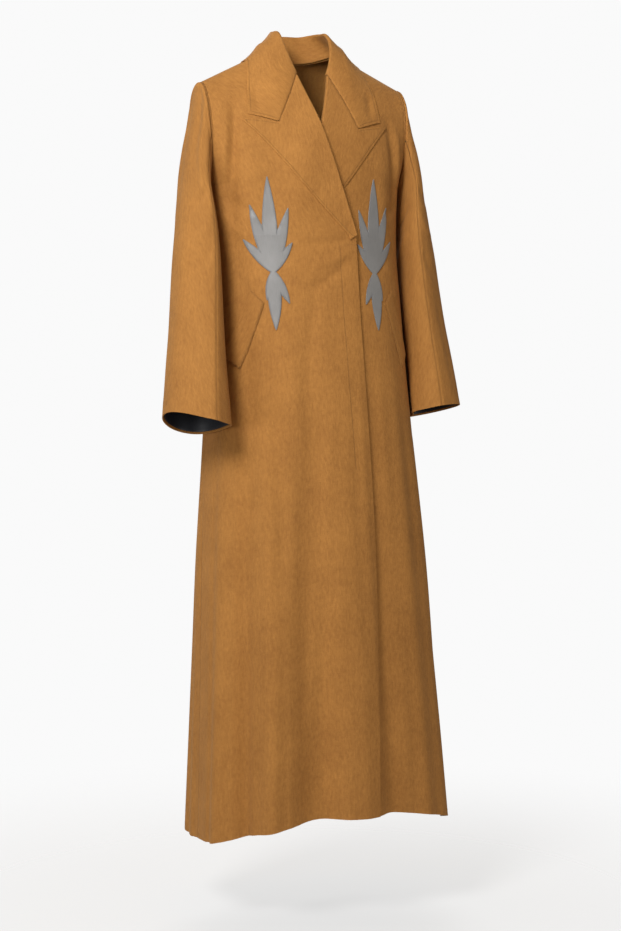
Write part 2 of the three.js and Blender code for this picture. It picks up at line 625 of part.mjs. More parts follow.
add("back", backPanel(), linen);
add("collar_fall", collarFall(), linen);
add("collar_stand", collarStand(), linen);
for (const [word, side] of [["right", RIGHT], ["left", LEFT]]) {
  const { front, back } = SLEEVE_SEAMS;
  add(`front_${word}`, frontPanel(side), linen);
  add(`lapel_${word}`, lapel(side), linen);
  add(`top_sleeve_${word}`, sleeve(side, back - 360, front, TOP_SLEEVE_COLUMNS), linen);
  add(`under_sleeve_${word}`, sleeve(side, front, back, UNDER_SLEEVE_COLUMNS), linen);
  add(`sleeve_lining_${word}`, sleeveLining(side), lining);
  add(`pocket_welt_${word}`, pocketWelt(side), linen);
  add(`motif_${word}`, motif(side), satin);
}

export default abaya;
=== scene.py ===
import math

import bpy
import bmesh
import numpy as np
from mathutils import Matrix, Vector


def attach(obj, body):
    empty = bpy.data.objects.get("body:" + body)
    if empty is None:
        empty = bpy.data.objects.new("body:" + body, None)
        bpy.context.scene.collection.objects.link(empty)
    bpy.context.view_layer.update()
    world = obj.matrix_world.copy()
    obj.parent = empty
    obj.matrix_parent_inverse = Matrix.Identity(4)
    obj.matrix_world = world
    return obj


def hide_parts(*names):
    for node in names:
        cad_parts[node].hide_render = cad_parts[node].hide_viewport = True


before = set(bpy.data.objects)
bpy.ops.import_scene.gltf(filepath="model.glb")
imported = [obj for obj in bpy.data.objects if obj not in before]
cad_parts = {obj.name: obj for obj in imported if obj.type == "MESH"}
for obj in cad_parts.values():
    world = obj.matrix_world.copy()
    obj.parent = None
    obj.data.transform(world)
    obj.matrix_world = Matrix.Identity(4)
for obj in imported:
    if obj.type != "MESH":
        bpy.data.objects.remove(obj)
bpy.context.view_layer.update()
print("frame loaded:", len(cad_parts), "nodes")

# Millimetres while the cloth is laid out. Z is up, the front faces -Y, the wearer's right is -X.
# turn goes across one face in degrees, from -90 at the wearer's right side to 90 at the left. around goes
# on round the body: 0 at the centre front, 180 at the centre back. side is -1 for the wearer's right.

words = {-1: "right", 1: "left"}

body = {
    "squareness": 2.3,
    "underarm": -245,
    "underarmHalf": 186,
    "shoulderHalf": 195,
    "shoulderDrop": 60,
    "neckHalf": 72,
    "backNeckDrop": 14,
    "armhole": 51,
    "frontRound": 1.7,
    "backRound": 2.4,
    # level, half width, depth before and behind the shoulder seam, swing to the wearer's left
    "rings": [
        (-245, 186, 115, 95, 0), (-360, 180, 126, 92, 3), (-455, 182, 144, 96, 6),
        (-560, 186, 159, 104, 9), (-670, 194, 170, 112, 11), (-780, 202, 179, 120, 13),
        (-930, 213, 187, 132, 17), (-1090, 222, 192, 144, 22), (-1250, 232, 195, 156, 28),
        (-1434, 243, 197, 166, 34),
    ],
    "frontEdge": [(-338, 57), (-530, 59), (-920, 74), (-1434, 74)],  # level, distance past the centre
    "hem": -1434,
    # height, middle, and how far from it the hem starts and ends its fall
    "hemRise": (48, 2, 8, 85),
    "hemSway": 4,
    "hemSideDrop": (7, -104, 26),  # depth, middle, half width
    "hemFollows": 0.05,  # how much of a fold's height the hem drops by
    "breakLevel": -338,
    "rollSlope": 0.3,
    "rollStart": 45,
    "necklineFront": -54,
    "necklineBend": 0.8,
}

# Folds of the skirt: middle and half width round the body in degrees, height at the hem, starting level
mainFolds = [
    (-68, 9, 14, -420), (-52, 8, -18, -380), (-35, 10, 22, -360), (-15, 12, -24, -440), (3, 9, 12, -520),
    (17, 8, -13, -400), (35, 11, 16, -380), (51, 14, 15, -400), (70, 12, -4, -640), (87, 12, 3, -700),
    (104, 13, 15, -700), (127, 14, -20, -560), (150, 13, 17, -620), (172, 13, -15, -700),
    (-165, 13, 18, -580), (-142, 13, -20, -640), (-120, 13, 15, -560), (-88, 10, -5, -560),
]
smallFolds = [
    (-47, 4.5, 3.2, -700), (-31, 4, -2.6, -860), (-66, 5, 2.4, -820), (-74, 4, -2.2, -560),
    (-25, 4.5, 2.6, -520), (-11, 4, -2.2, -980), (-4, 5, 2.4, -760), (6, 4, -2.0, -900),
    (20, 5, 2.2, -640), (29, 4, -2.4, -980), (46, 4.5, 2.6, -560), (67, 4, -2.4, -900),
    (92, 5, 2.4, -820), (117, 5, -2.8, -900), (138, 5, 2.8, -700), (161, 4.5, -2.4, -640),
    (179, 5, 2.6, -980), (-153, 5, -2.8, -760), (-131, 4.5, 2.4, -900), (-111, 5, 2.6, -640),
    (-93, 4.5, -2.2, -980),
]
foldShape = {"growth": 1.05, "crest": 1.5}

# How the right front rises over the left one
lapOver = {
    "height": 4.4,
    "overLapel": 4,
    "belowBreak": (140, 10),  # depths between which the left lapel's foot adds its height
    "leastReach": -20,
    "inwards": (80, 6),  # distances from the left front's edge between which the rise is made
    "belowShoulder": (60, 150),
}

# Creases on the panels: x and level at both ends, half width, height, sideways bow
creases = {
    "frontRight": [
        (-148, -62, -160, -330, 10, -9.0, 6), (-164, -110, -170, -290, 7, 3.5, 3),
        (-112, -52, -108, -104, 9, -3.5, 0), (-128, -150, -140, -420, 16, 2.8, -6),
        (-112, -420, -100, -1000, 16, -8.0, 0), (-172, -262, -118, -300, 8, -3.0, 6),
        (-176, -290, -128, -345, 8, 2.4, 7), (46, -345, -62, -352, 6, -2.6, -5),
        (48, -366, -30, -392, 6, 2.2, -5), (44, -380, -48, -440, 8, -2.2, -7),
        (-20, -410, -46, -620, 12, -2.2, 6), (-74, -560, -66, -800, 12, 2.6, -5),
        (-10, -660, -18, -940, 10, 2.0, 4), (-128, -600, -150, -930, 13, -2.6, 6),
        (-96, -820, -120, -1230, 12, -2.4, 6), (-42, -900, -60, -1300, 12, 2.4, -6),
        (10, -1000, 6, -1390, 12, -2.0, 5), (-170, -640, -196, -900, 14, 2.4, 5),
        (38, -560, 48, -1100, 12, -2.4, 6),
    ],
    "frontLeft": [
        (146, -92, 158, -300, 9, -5.5, -5), (166, -110, 170, -290, 7, 3.0, -3),
        (112, -60, 106, -116, 9, -3.0, 0), (170, -262, 122, -300, 8, -2.6, -5),
        (128, -160, 136, -420, 15, 2.6, 5), (96, -560, 112, -900, 12, 2.4, 5),
        (140, -620, 166, -980, 13, -2.6, -6), (84, -860, 96, -1250, 10, -2.4, 4),
        (120, -1000, 140, -1380, 12, 2.2, -4), (180, -700, 206, -1100, 13, 2.2, -5),
    ],
    "back": [
        (-150, -120, -140, -330, 12, -5.0, -6), (150, -130, 142, -340, 12, -5.0, 6),
        (-60, -90, -84, -300, 18, 2.4, 5), (66, -100, 80, -330, 18, 2.2, -5),
        (-20, -380, 34, -420, 14, -2.4, 6), (-110, -400, -60, -450, 12, -2.2, 6),
        (120, -420, 66, -470, 12, 2.2, 6), (-40, -620, -58, -980, 14, 2.6, 6),
        (50, -660, 62, -1080, 13, -2.6, -5), (110, -780, 132, -1220, 13, 2.4, 5),
        (-120, -740, -140, -1160, 13, -2.4, 5), (4, -920, 10, -1380, 14, 2.4, 6),
    ],
}


def smoothstep(value, low, high):
    share = np.clip((value - low) / (high - low), 0, 1)
    return share * share * (3 - 2 * share)


def mix(a, b, share):
    return a + (b - a) * share


def signedPower(value, power):
    return np.sign(value) * np.abs(value) ** power


def unit(vectors):
    return vectors / np.maximum(np.linalg.norm(vectors, axis=-1, keepdims=True), 1e-9)


def readRows(rows, at):
    # smooth values between the rows of a table, read by its first column
    rows = np.array(rows, float)
    way = 1 if rows[-1, 0] > rows[0, 0] else -1
    keys = rows[:, 0] * way
    last = len(rows) - 1
    at = np.clip(np.asarray(at, float) * way, keys[0], keys[-1])
    i = np.clip(np.searchsorted(keys, at) - 1, 0, last - 1)
    before = np.maximum(i - 1, 0)
    after = np.minimum(i + 2, last)
    span = (keys[i + 1] - keys[i])[..., None]
    t = (at - keys[i])[..., None] / span
    a, b = rows[i], rows[i + 1]
    slopeA = (b - rows[before]) / (keys[i + 1] - keys[before])[..., None] * span
    slopeB = (rows[after] - a) / (keys[after] - keys[i])[..., None] * span
    jump = b - a
    return a + slopeA * t + (3 * jump - 2 * slopeA - slopeB) * t**2 + (slopeA + slopeB - 2 * jump) * t**3


def strokes(rows, a, b):
    # soft ridges and troughs along bowed lines, in the two directions a and b
    total = np.zeros(np.broadcast(a, b).shape)
    for a0, b0, a1, b1, halfWidth, height, bow in rows:
        da, db = a1 - a0, b1 - b0
        length = math.hypot(da, db)
        t = ((a - a0) * da + (b - b0) * db) / length**2
        away = ((a - a0) * db - (b - b0) * da) / length - bow * 4 * t * (1 - t)
        ends = np.clip(1 - (2 * t - 1) ** 2, 0, 1) ** 0.8
        total += height * ends * np.exp(-((away / halfWidth) ** 2))
    return total


def armholeX(z):
    share = (z - body["underarm"]) / (-body["shoulderDrop"] - body["underarm"])
    return mix(body["underarmHalf"], body["shoulderHalf"], share)


def chestShare(level):
    return np.clip((level - body["underarm"]) / -body["underarm"], 0, 1)


def turnAt(x, level):
    ring = readRows(body["rings"], np.minimum(level, body["underarm"]))
    half = ring[..., 1] + (body["shoulderHalf"] - body["underarmHalf"]) * chestShare(level)
    across = np.clip((x - ring[..., 4]) / half, -1, 1)
    return np.degrees(np.arcsin(signedPower(across, body["squareness"] / 2)))


def bodyForm(face, turn, level):
    turn, level = np.broadcast_arrays(np.asarray(turn, float), np.asarray(level, float))
    s = np.sin(np.radians(turn))
    c = np.abs(np.cos(np.radians(turn)))
    power = 2 / body["squareness"]
    ring = readRows(body["rings"], np.minimum(level, body["underarm"]))
    share = chestShare(level)
    half = ring[..., 1] + (body["shoulderHalf"] - body["underarmHalf"]) * share
    x = ring[..., 4] + half * signedPower(s, power)
    slope = np.maximum(np.abs(x) - body["neckHalf"], 0) / (body["shoulderHalf"] - body["neckHalf"])
    z = np.where(share > 0, mix(body["underarm"], -body["shoulderDrop"] * slope, share), level)
    rounding = body["frontRound"] if face > 0 else body["backRound"]
    reach = ring[..., 2] if face > 0 else ring[..., 3]
    centre = reach * np.maximum(1 - share**rounding, 0) ** (1 / rounding)
    armhole = body["armhole"] * 2 * np.sqrt(share * (1 - share))
    depth = np.hypot(centre * c**power, armhole * (1 - c**2))
    return np.stack([x, -face * depth, z], -1)


def bodyOutward(face, turn, level):
    turn, level = np.broadcast_arrays(np.asarray(turn, float), np.asarray(level, float))
    ahead, behind = np.clip(turn + 0.5, -90, 90), np.clip(turn - 0.5, -90, 90)
    around = bodyForm(face, ahead, level) - bodyForm(face, behind, level)
    rise = bodyForm(face, turn, np.minimum(level + 1, 0)) - bodyForm(face, turn, level - 1)
    out = unit(np.cross(around, rise) * face)
    flat = ((np.abs(turn) > 89.9) & (level <= body["underarm"])) | (level > -0.5)
    out[..., 1] = np.where(flat, 0, out[..., 1])
    return unit(out)


def drape(around, level, folds=mainFolds + smallFolds):
    total = np.zeros(np.broadcast(around, level).shape)
    for turn, halfWidth, out, starts in folds:
        away = np.abs((around - turn + 540) % 360 - 180) / halfWidth
        fall = np.maximum((starts - level) / (starts - body["hem"]), 0) ** foldShape["growth"]
        total += out * np.cos(np.minimum(away, 1) * math.pi / 2) ** foldShape["crest"] * fall * (away < 1)
    return total


def rollX(level):
    return -body["rollSlope"] * level - body["rollStart"]


def edgePast(level):
    # how far a front's edge goes past the centre, from the break down
    return readRows(body["frontEdge"], np.minimum(level, body["breakLevel"]))[..., 1]


def frontEdge(level):
    share = np.clip(level / body["necklineFront"], 0, 1) ** body["necklineBend"]
    above = mix(-body["neckHalf"], rollX(body["necklineFront"]), share)
    roll = np.where(level < body["necklineFront"], rollX(level), above)
    return np.where(level < body["breakLevel"], edgePast(level), roll)


def lap(side, x, level):
    if side > 0:
        return 0 * x
    past = np.maximum(rollX(level), lapOver["leastReach"])
    reach = np.where(level < body["breakLevel"], edgePast(level), past)
    low, high = (body["breakLevel"] - depth for depth in lapOver["belowBreak"])
    height = lapOver["height"] + smoothstep(level, low, high) * lapOver["overLapel"]
    start, full = (-reach - inwards for inwards in lapOver["inwards"])
    return height * smoothstep(x, start, full) * smoothstep(-level, *lapOver["belowShoulder"])


def bodyCloth(face, side, turn, level):
    # the outer face of a body panel and the way out of it
    base = bodyForm(face, turn, level)
    out = bodyOutward(face, turn, level)
    around = turn if face > 0 else np.where(turn < 0, -180, 180) - turn
    lift = drape(around, level)
    if face > 0:
        name = "frontRight" if side < 0 else "frontLeft"
        lift = lift + lap(side, base[..., 0], level) + strokes(creases[name], base[..., 0], level)
    else:
        lift = lift + strokes(creases["back"], base[..., 0], level)
    return base + out * lift[..., None], out


def onFront(side, x, level):
    # by distance from the centre towards the side seam
    return bodyCloth(1, side, turnAt(side * x, level), level)


def hemLevel(around):
    swing = drape(around, np.full(np.shape(around), float(body["hem"])), mainFolds)
    height, middle, near, far = body["hemRise"]
    rise = height * (1 - smoothstep(np.abs(around - middle), near, far))
    depth, middle, halfWidth = body["hemSideDrop"]
    sideDrop = depth * np.exp(-(((around - middle) / halfWidth) ** 2))
    sway = body["hemSway"] * np.sin(np.radians(around))
    return body["hem"] + sway - body["hemFollows"] * swing + rise - sideDrop


def denseEnds(count, low=0.5, high=0.5):
    # shares from 0 to 1, closer together near the ends
    t = np.linspace(0, 1, count)
    eased = (1 - np.cos(math.pi * t)) / 2
    return mix(t, eased, mix(low, high, t))


def lengths(grid, axis):
    steps = np.linalg.norm(np.diff(grid, axis=axis), axis=-1)
    start = np.zeros_like(np.take(steps, [0], axis=axis))
    return np.concatenate([start, np.cumsum(steps, axis=axis)], axis=axis)


# Materials


class Nodes:
    # short ways to add nodes to one material
    def __init__(self, name):
        self.material = bpy.data.materials.new(name)
        self.material.use_nodes = True
        self.tree = self.material.node_tree
        self.shader = self.tree.nodes["Principled BSDF"]

    def add(self, kind, **values):
        node = self.tree.nodes.new(kind)
        for key, value in values.items():
            setattr(node, key, value)
        return node

    def link(self, source, target):
        self.tree.links.new(source, target)

    def put(self, socket, value):
        if hasattr(value, "is_output"):
            self.link(value, socket)
        else:
            socket.default_value = value

    def math(self, operation, a, b=0.0, c=0.0):
        node = self.add("ShaderNodeMath", operation=operation)
        for socket, value in zip(node.inputs, (a, b, c)):
            self.put(socket, value)
        return node.outputs[0]

    def ramp(self, value, low, high, toLow=0.0, toHigh=1.0):
        node = self.add("ShaderNodeMapRange", interpolation_type="SMOOTHSTEP")
        for socket, given in zip(node.inputs, (value, low, high, toLow, toHigh)):
            self.put(socket, given)
        return node.outputs[0]

    def attribute(self, name):
        return self.add("ShaderNodeAttribute", attribute_name=name).outputs["Fac"]

    def noise(self, vector, scale, detail=3.0, roughness=0.5, stretch=(1, 1, 1), turned=0.0):
        mapping = self.add("ShaderNodeMapping")
        mapping.inputs["Scale"].default_value = stretch
        mapping.inputs["Rotation"].default_value = (0, 0, turned)
        self.link(vector, mapping.inputs["Vector"])
        node = self.add("ShaderNodeTexNoise")
        self.link(mapping.outputs[0], node.inputs["Vector"])
        for key, value in (("Scale", scale), ("Detail", detail), ("Roughness", roughness)):
            node.inputs[key].default_value = value
        return node.outputs["Fac"]

    def tint(self, blend, a, b, share):
        node = self.add("ShaderNodeMix", data_type="RGBA", blend_type=blend)
        self.put(node.inputs["Factor"], share)
        self.put(node.inputs["A"], a)
        self.put(node.inputs["B"], b)
        return node.outputs["Result"]

    def bump(self, height, distance, strength=1.0, under=None):
        node = self.add("ShaderNodeBump")
        node.inputs["Strength"].default_value = strength
        node.inputs["Distance"].default_value = distance
        self.link(height, node.inputs["Height"])
        if under is not None:
            self.link(under, node.inputs["Normal"])
        return node.outputs["Normal"]

    def sewing(self, pitch, edge, gap):
        # distance from the line of stitches, and where thread shows
        away = self.math("ABSOLUTE", self.attribute("stitch"))
        beat = self.math("SINE", self.math("MULTIPLY", self.attribute("run"), 2 * math.pi / pitch))
        return away, self.math("MULTIPLY", self.ramp(away, *edge, 1, 0), self.ramp(beat, *gap))

    def surface(self, values):
        for key, value in values.items():
            self.put(self.shader.inputs[key], value)


def weaveHeight(nodes, uv, pitch):
    # crossing threads, one over one, pitch in metres
    split = nodes.add("ShaderNodeSeparateXYZ")
    nodes.link(uv, split.inputs[0])
    waves = []
    for axis in (0, 1):
        phase = nodes.math("MULTIPLY", split.outputs[axis], math.pi / pitch)
        waves.append(nodes.math("SINE", phase))
    return nodes.math("MULTIPLY", *waves)


# Lengths of sewing are in mm, the cut pattern and every bump in metres
linenLook = {
    "deep": (0.240, 0.095, 0.0190, 1),
    "light": (0.500, 0.226, 0.0520, 1),
    "thread": (0.34, 0.150, 0.036, 1),
    "weavePitch": 0.00085,
    "weaveTone": 0.07,
    # scale, detail, roughness, stretch and turn of each noise, then its share in the tone
    "noises": {
        "warpSlub": ((1, 3, 0.6, (560, 70, 1)), 0.46),
        "weftSlub": ((1, 3, 0.6, (60, 520, 1)), 0.26),
        "streak": ((1, 3, 0.6, (190, 55, 1)), 0.54),
        "cloud": ((11, 4, 0.55), 0.66),
        "crinkle": ((1, 4, 0.62, (165, 120, 1), 0.3), 0.60),
    },
    "stitches": (3.4, (0.25, 0.75), (-0.75, -0.45)),  # length, edge of the thread, gap in the beat
    "threadShare": 0.75,
    "pull": (1.5, 0.17),  # how far the thread draws the cloth in, and how dark the painted shade in that groove is
    # painted shade beside seams: how far it reaches in mm, and how dark
    "seamShade": (2.4, 0.24),
    # folded edges lighter: partly wear, partly a painted highlight where light catches the roll; width in
    # mm and how much lighter
    "worn": (2.6, 0.10),
    "rough": (0.16, 0.74),
    # distance and strength, from the broadest up
    "bumps": {
        "crinkle": (0.0016, 0.5), "streak": (0.0012, 0.45), "slub": (0.00035, 0.8),
        "weave": (0.00012, 0.7), "sewn": (0.0006, 0.8),
    },
    "surface": {
        "Specular IOR Level": 0.25,
        "Sheen Weight": 0.10,
        "Sheen Roughness": 0.45,
        "Sheen Tint": (1.0, 0.74, 0.42, 1),
    },
}


def makeLinen(name, look):
    n = Nodes(name)
    uv = n.add("ShaderNodeUVMap", uv_map="cut").outputs[0]
    heights = {key: n.noise(uv, *how) for key, (how, share) in look["noises"].items()}
    tone = 0.5 - sum(share for how, share in look["noises"].values()) / 2
    for key, (how, share) in look["noises"].items():
        tone = n.math("MULTIPLY_ADD", heights[key], share, tone)
    heights["weave"] = weaveHeight(n, uv, look["weavePitch"])
    tone = n.math("MULTIPLY_ADD", heights["weave"], look["weaveTone"], tone)
    base = n.tint("MIX", look["deep"], look["light"], tone)
    # sewing, with painted shade beside seams and stitch lines and a painted highlight along folded edges
    away, onThread = n.sewing(*look["stitches"])
    marks = {"pull": away, "seamShade": n.attribute("seamShade"), "worn": n.attribute("fold")}
    near = {key: n.ramp(mark, 0, look[key][0], 1, 0) for key, mark in marks.items()}
    share = {key: n.math("MULTIPLY", value, look[key][1]) for key, value in near.items()}
    base = n.tint("MIX", base, look["thread"], n.math("MULTIPLY", onThread, look["threadShare"]))
    # painted shade: darker beside the seams
    shade = n.math("SUBTRACT", 1, share["seamShade"])
    # painted shade in the groove beside each stitch line
    shade = n.math("MULTIPLY", shade, n.math("SUBTRACT", 1, share["pull"]))
    # painted highlight and wear: lighter along folded edges
    shade = n.math("ADD", shade, share["worn"])
    grey = n.add("ShaderNodeCombineColor")
    for socket in grey.inputs:
        n.link(shade, socket)
    slubs = n.math("MULTIPLY", heights["warpSlub"], 0.6), n.math("MULTIPLY", heights["weftSlub"], 0.5)
    heights["slub"] = n.math("ADD", *slubs)
    heights["sewn"] = n.math("SUBTRACT", n.math("MULTIPLY", onThread, 0.7), near["pull"])
    normal = None
    for key, (distance, strength) in look["bumps"].items():
        normal = n.bump(heights[key], distance, strength, normal)
    n.surface({
        "Base Color": n.tint("MULTIPLY", base, grey.outputs[0], 1.0),
        "Roughness": n.math("MULTIPLY_ADD", heights["warpSlub"], *look["rough"]),
        "Normal": normal,
        **look["surface"],
    })
    return n.material


satinLook = {
    "deep": (0.128, 0.125, 0.121, 1),
    "light": (0.270, 0.264, 0.257, 1),
    "thread": (0.20, 0.20, 0.215, 1),
    "threadShare": 0.6,
    "stitches": (1.6, (0.7, 1.1), (-0.6, 0.2)),
    "pitch": 0.00045,
    "rough": (0.2, 0.34),
    "surface": {"Sheen Weight": 0.15, "Anisotropic": 0.35},
}


def makeSatin(name, look):
    n = Nodes(name)
    uv = n.add("ShaderNodeUVMap", uv_map="cut").outputs[0]
    floats = n.noise(uv, 1, 2, 0.5, (1400, 60, 1))
    cloud = n.noise(uv, 26, 3, 0.5)
    tone = n.math("MULTIPLY_ADD", floats, 0.5, n.math("MULTIPLY", cloud, 0.5))
    base = n.tint("MIX", look["deep"], look["light"], tone)
    onThread = n.sewing(*look["stitches"])[1]
    threadShare = n.math("MULTIPLY", onThread, look["threadShare"])
    gentle = n.bump(n.noise(uv, 60, 2, 0.5), 0.0008, 0.4)
    fine = n.bump(weaveHeight(n, uv, look["pitch"]), 0.00006, 0.5, gentle)
    n.surface({
        "Base Color": n.tint("MIX", base, look["thread"], threadShare),
        "Roughness": n.math("MULTIPLY_ADD", floats, *look["rough"]),
        "Normal": n.bump(onThread, 0.0005, 0.8, fine),
        **look["surface"],
    })
    return n.material


liningLook = {
    "deep": (0.0065, 0.0075, 0.011, 1),
    "light": (0.022, 0.025, 0.034, 1),
    "rough": (0.2, 0.38),
}


def makeLining(name, look):
    n = Nodes(name)
    uv = n.add("ShaderNodeUVMap", uv_map="cut").outputs[0]
    twill = n.noise(uv, 1, 2, 0.5, (1500, 110, 1), 0.6)
    cloud = n.noise(uv, 24, 3, 0.55)
    tone = n.math("MULTIPLY_ADD", twill, 0.5, n.math("MULTIPLY", cloud, 0.5))
    soft = n.bump(n.noise(uv, 40, 3, 0.5, (1, 0.5, 1)), 0.002, 0.5)
    n.surface({
        "Base Color": n.tint("MIX", look["deep"], look["light"], tone),
        "Roughness": n.math("MULTIPLY_ADD", twill, *look["rough"]),
        "Normal": n.bump(twill, 0.0001, 0.5, soft),
        "Specular IOR Level": 0.4,
    })
    return n.material


linen = makeLinen("camelLinen", linenLook)
satin = makeSatin("greySatin", satinLook)
lining = makeLining("darkLining", liningLook)
print("materials made")


# Meshes


def applyModifiers(piece):
    bpy.ops.object.select_all(action="DESELECT")
    bpy.context.view_layer.objects.active = piece
    piece.select_set(True)
    for modifier in list(piece.modifiers):
        bpy.ops.object.modifier_apply(modifier=modifier.name)


def meshFrom(name, points, faces, uv, marks, materials):
    mesh = bpy.data.meshes.new(name)
    mesh.from_pydata((points / 1000).tolist(), [], faces)
    layer = mesh.uv_layers.new(name="cut")
    corner = np.zeros(len(mesh.loops), np.int32)
    mesh.loops.foreach_get("vertex_index", corner)
    layer.data.foreach_set("uv", (uv[corner] / 1000).astype(np.float32).ravel())
    # stitches, and the distances that place painted shade beside seams and a painted highlight along
    # folded edges
    for key in ("stitch", "run", "seamShade", "fold"):
        values = marks.get(key)
        values = np.full(len(points), 99.0) if values is None else np.broadcast_to(values, len(points))
        attribute = mesh.attributes.new(key, "FLOAT", "POINT")
        attribute.data.foreach_set("value", np.ascontiguousarray(values, np.float32))
    for material in materials:
        mesh.materials.append(material)
    piece = bpy.data.objects.new(name, mesh)
    bpy.context.scene.collection.objects.link(piece)
    return piece


def editMesh(piece, change):
    work = bmesh.new()
    work.from_mesh(piece.data)
    change(work)
    work.to_mesh(piece.data)
    work.free()


def finishCloth(piece, wall, rounding=0.3, inner=0):
    solidify = piece.modifiers.new("wall", "SOLIDIFY")
    solidify.thickness = wall / 1000
    solidify.offset = -1
    solidify.material_offset = inner
    if rounding:
        bevel = piece.modifiers.new("edges", "BEVEL")
        bevel.width = wall * rounding / 1000
        bevel.segments = 2
        bevel.limit_method = "ANGLE"
        bevel.angle_limit = math.radians(55)
    applyModifiers(piece)
    piece.data.polygons.foreach_set("use_smooth", [True] * len(piece.data.polygons))
    piece.data.update()
    area = sum(polygon.area for polygon in piece.data.polygons) / 2
    triangles = sum(len(polygon.vertices) - 2 for polygon in piece.data.polygons)
    print(f"  {piece.name}: area {area:.4f} m2, {triangles} triangles")


def showLinen(piece, isLinen):
    # the inner side is lining but where a face's centre says otherwise
    for polygon in piece.data.polygons:
        if polygon.material_index == 1 and isLinen(polygon.center):
            polygon.material_index = 0


def clothPiece(name, grid, out, wall, marks=None, uv=None, materials=None, inner=0, closed=False):
    rows, columns = grid.shape[:2]
    index = np.arange(rows * columns).reshape(rows, columns)
    quads = np.stack([index[:-1, :-1], index[:-1, 1:], index[1:, 1:], index[1:, :-1]], -1)
    quads = quads.reshape(-1, 4)
    points = grid.reshape(-1, 3)
    a, b, d = points[quads[:, 0]], points[quads[:, 1]], points[quads[:, 3]]
    facing = (np.cross(b - a, d - a) * out.reshape(-1, 3)[quads[:, 0]]).sum()
    if facing < 0:
        quads = quads[:, ::-1]
    if uv is None:
        uv = np.stack([lengths(grid, 1), lengths(grid, 0)], -1)
    marks = {key: np.broadcast_to(value, (rows, columns)).ravel() for key, value in (marks or {}).items()}
    piece = meshFrom(name, points, quads.tolist(), uv.reshape(-1, 2), marks, materials or [linen])
    if closed:
        editMesh(piece, lambda work: bmesh.ops.remove_doubles(work, verts=work.verts, dist=1e-5))
    finishCloth(piece, wall, inner=inner)
    return piece


# Body panels

panels = {
    "wall": 2.0,
    "skirtRows": 190,
    "chestRows": 66,
    "frontColumns": 104,
    "backColumns": 150,
    "seamRoll": (0.9, 2.6),  # how deep and how wide the cloth turns in at a seam
    "flyIn": 34,
    "fly": (-352, -760),
    "hemFacing": (-1.395, 0.048, 0.2),  # top in metres, how much higher at the middle, half width there
    "frontFacing": 0.095,
    "yoke": -0.215,
    # past this distance from the middle and above this level a face is by the armhole; 1 is the front
    "armholeSide": {1: 0.160, -1: 0.172},
    "armholeLevel": -0.3,
}


def panelLevels():
    skirt = np.concatenate([[0, 0.0012, 0.003], np.linspace(0, 1, panels["skirtRows"])[1:]]) ** 0.97
    chest = (1 - np.cos(math.pi * np.linspace(0, 1, panels["chestRows"]))) / 2
    return np.concatenate([skirt, 1 + chest[1:]])


def levelOf(rows, hem, top):
    # rows are 0 at the hem, 1 at the underarm and 2 at the shoulder seam
    skirt = mix(hem, body["underarm"], np.minimum(rows, 1))
    return np.where(rows <= 1, skirt, mix(body["underarm"], top, rows - 1))


def rollIn(grid, out, fromSeam):
    depth, width = panels["seamRoll"]
    return grid - out * (depth * np.exp(-((fromSeam / width) ** 2)))[..., None]


def nearHem(centre):
    top, rise, halfWidth = panels["hemFacing"]
    return centre.z < top + rise * max(0, 1 - abs(centre.x) / halfWidth) * (centre.y < 0)


def byArmhole(face, centre):
    return abs(centre.x) > panels["armholeSide"][face] and centre.z > panels["armholeLevel"]


def trimToSeams(grid, face, armholeEdge, rows):
    grid[..., 1] = -face * np.maximum(-face * grid[..., 1], 0)
    above = grid[..., 2] > body["underarm"]
    limit = armholeX(grid[..., 2]) - 0.15
    grid[..., 0] = np.where(above, np.clip(grid[..., 0], -limit, limit), grid[..., 0])
    chest = rows > 1
    for column in armholeEdge:
        edge = grid[chest, column, 0]
        grid[chest, column, 0] = np.sign(edge) * limit[chest, column]
    return grid


def frontPanel(side):
    word = words[side]
    rows = panelLevels()
    shares = denseEnds(panels["frontColumns"], 0.55, 0.65)
    centreLevel = levelOf(rows, hemLevel(np.zeros(1)), 0)
    edgeTurn = turnAt(-side * frontEdge(centreLevel), centreLevel)
    turn = edgeTurn[:, None] + (side * 90 - edgeTurn[:, None]) * shares[None, :]
    level = levelOf(rows[:, None], hemLevel(turn), 0)
    grid, out = bodyCloth(1, side, turn, level)
    grid = trimToSeams(grid, 1, [-1], rows)
    fromEdge = lengths(grid, 1)
    fromHem = lengths(grid, 0)
    fromSeam = np.minimum(fromEdge[:, -1:] - fromEdge, fromHem[-1:, :] - fromHem)
    grid = rollIn(grid, out, fromSeam)
    # painted shade beside the seams and the fly's stitch line; front edge and hem painted lighter
    marks = {"seamShade": fromSeam, "fold": np.minimum(fromEdge, fromHem)}
    if side < 0:
        top, bottom = panels["fly"]
        marks["stitch"] = np.where((level < top) & (level > bottom), fromEdge - panels["flyIn"], 99)
        marks["run"] = fromHem
    uv = np.stack([fromEdge, fromHem], -1)
    name = f"front_{word}_cloth"
    piece = clothPiece(name, grid, out, panels["wall"], marks, uv, [linen, lining], 1)

    def isLinen(p):
        fromFrontEdge = abs(p.x + side * float(frontEdge(np.array(p.z * 1000))) / 1000)
        return nearHem(p) or fromFrontEdge < panels["frontFacing"] or byArmhole(1, p)

    showLinen(piece, isLinen)
    return piece


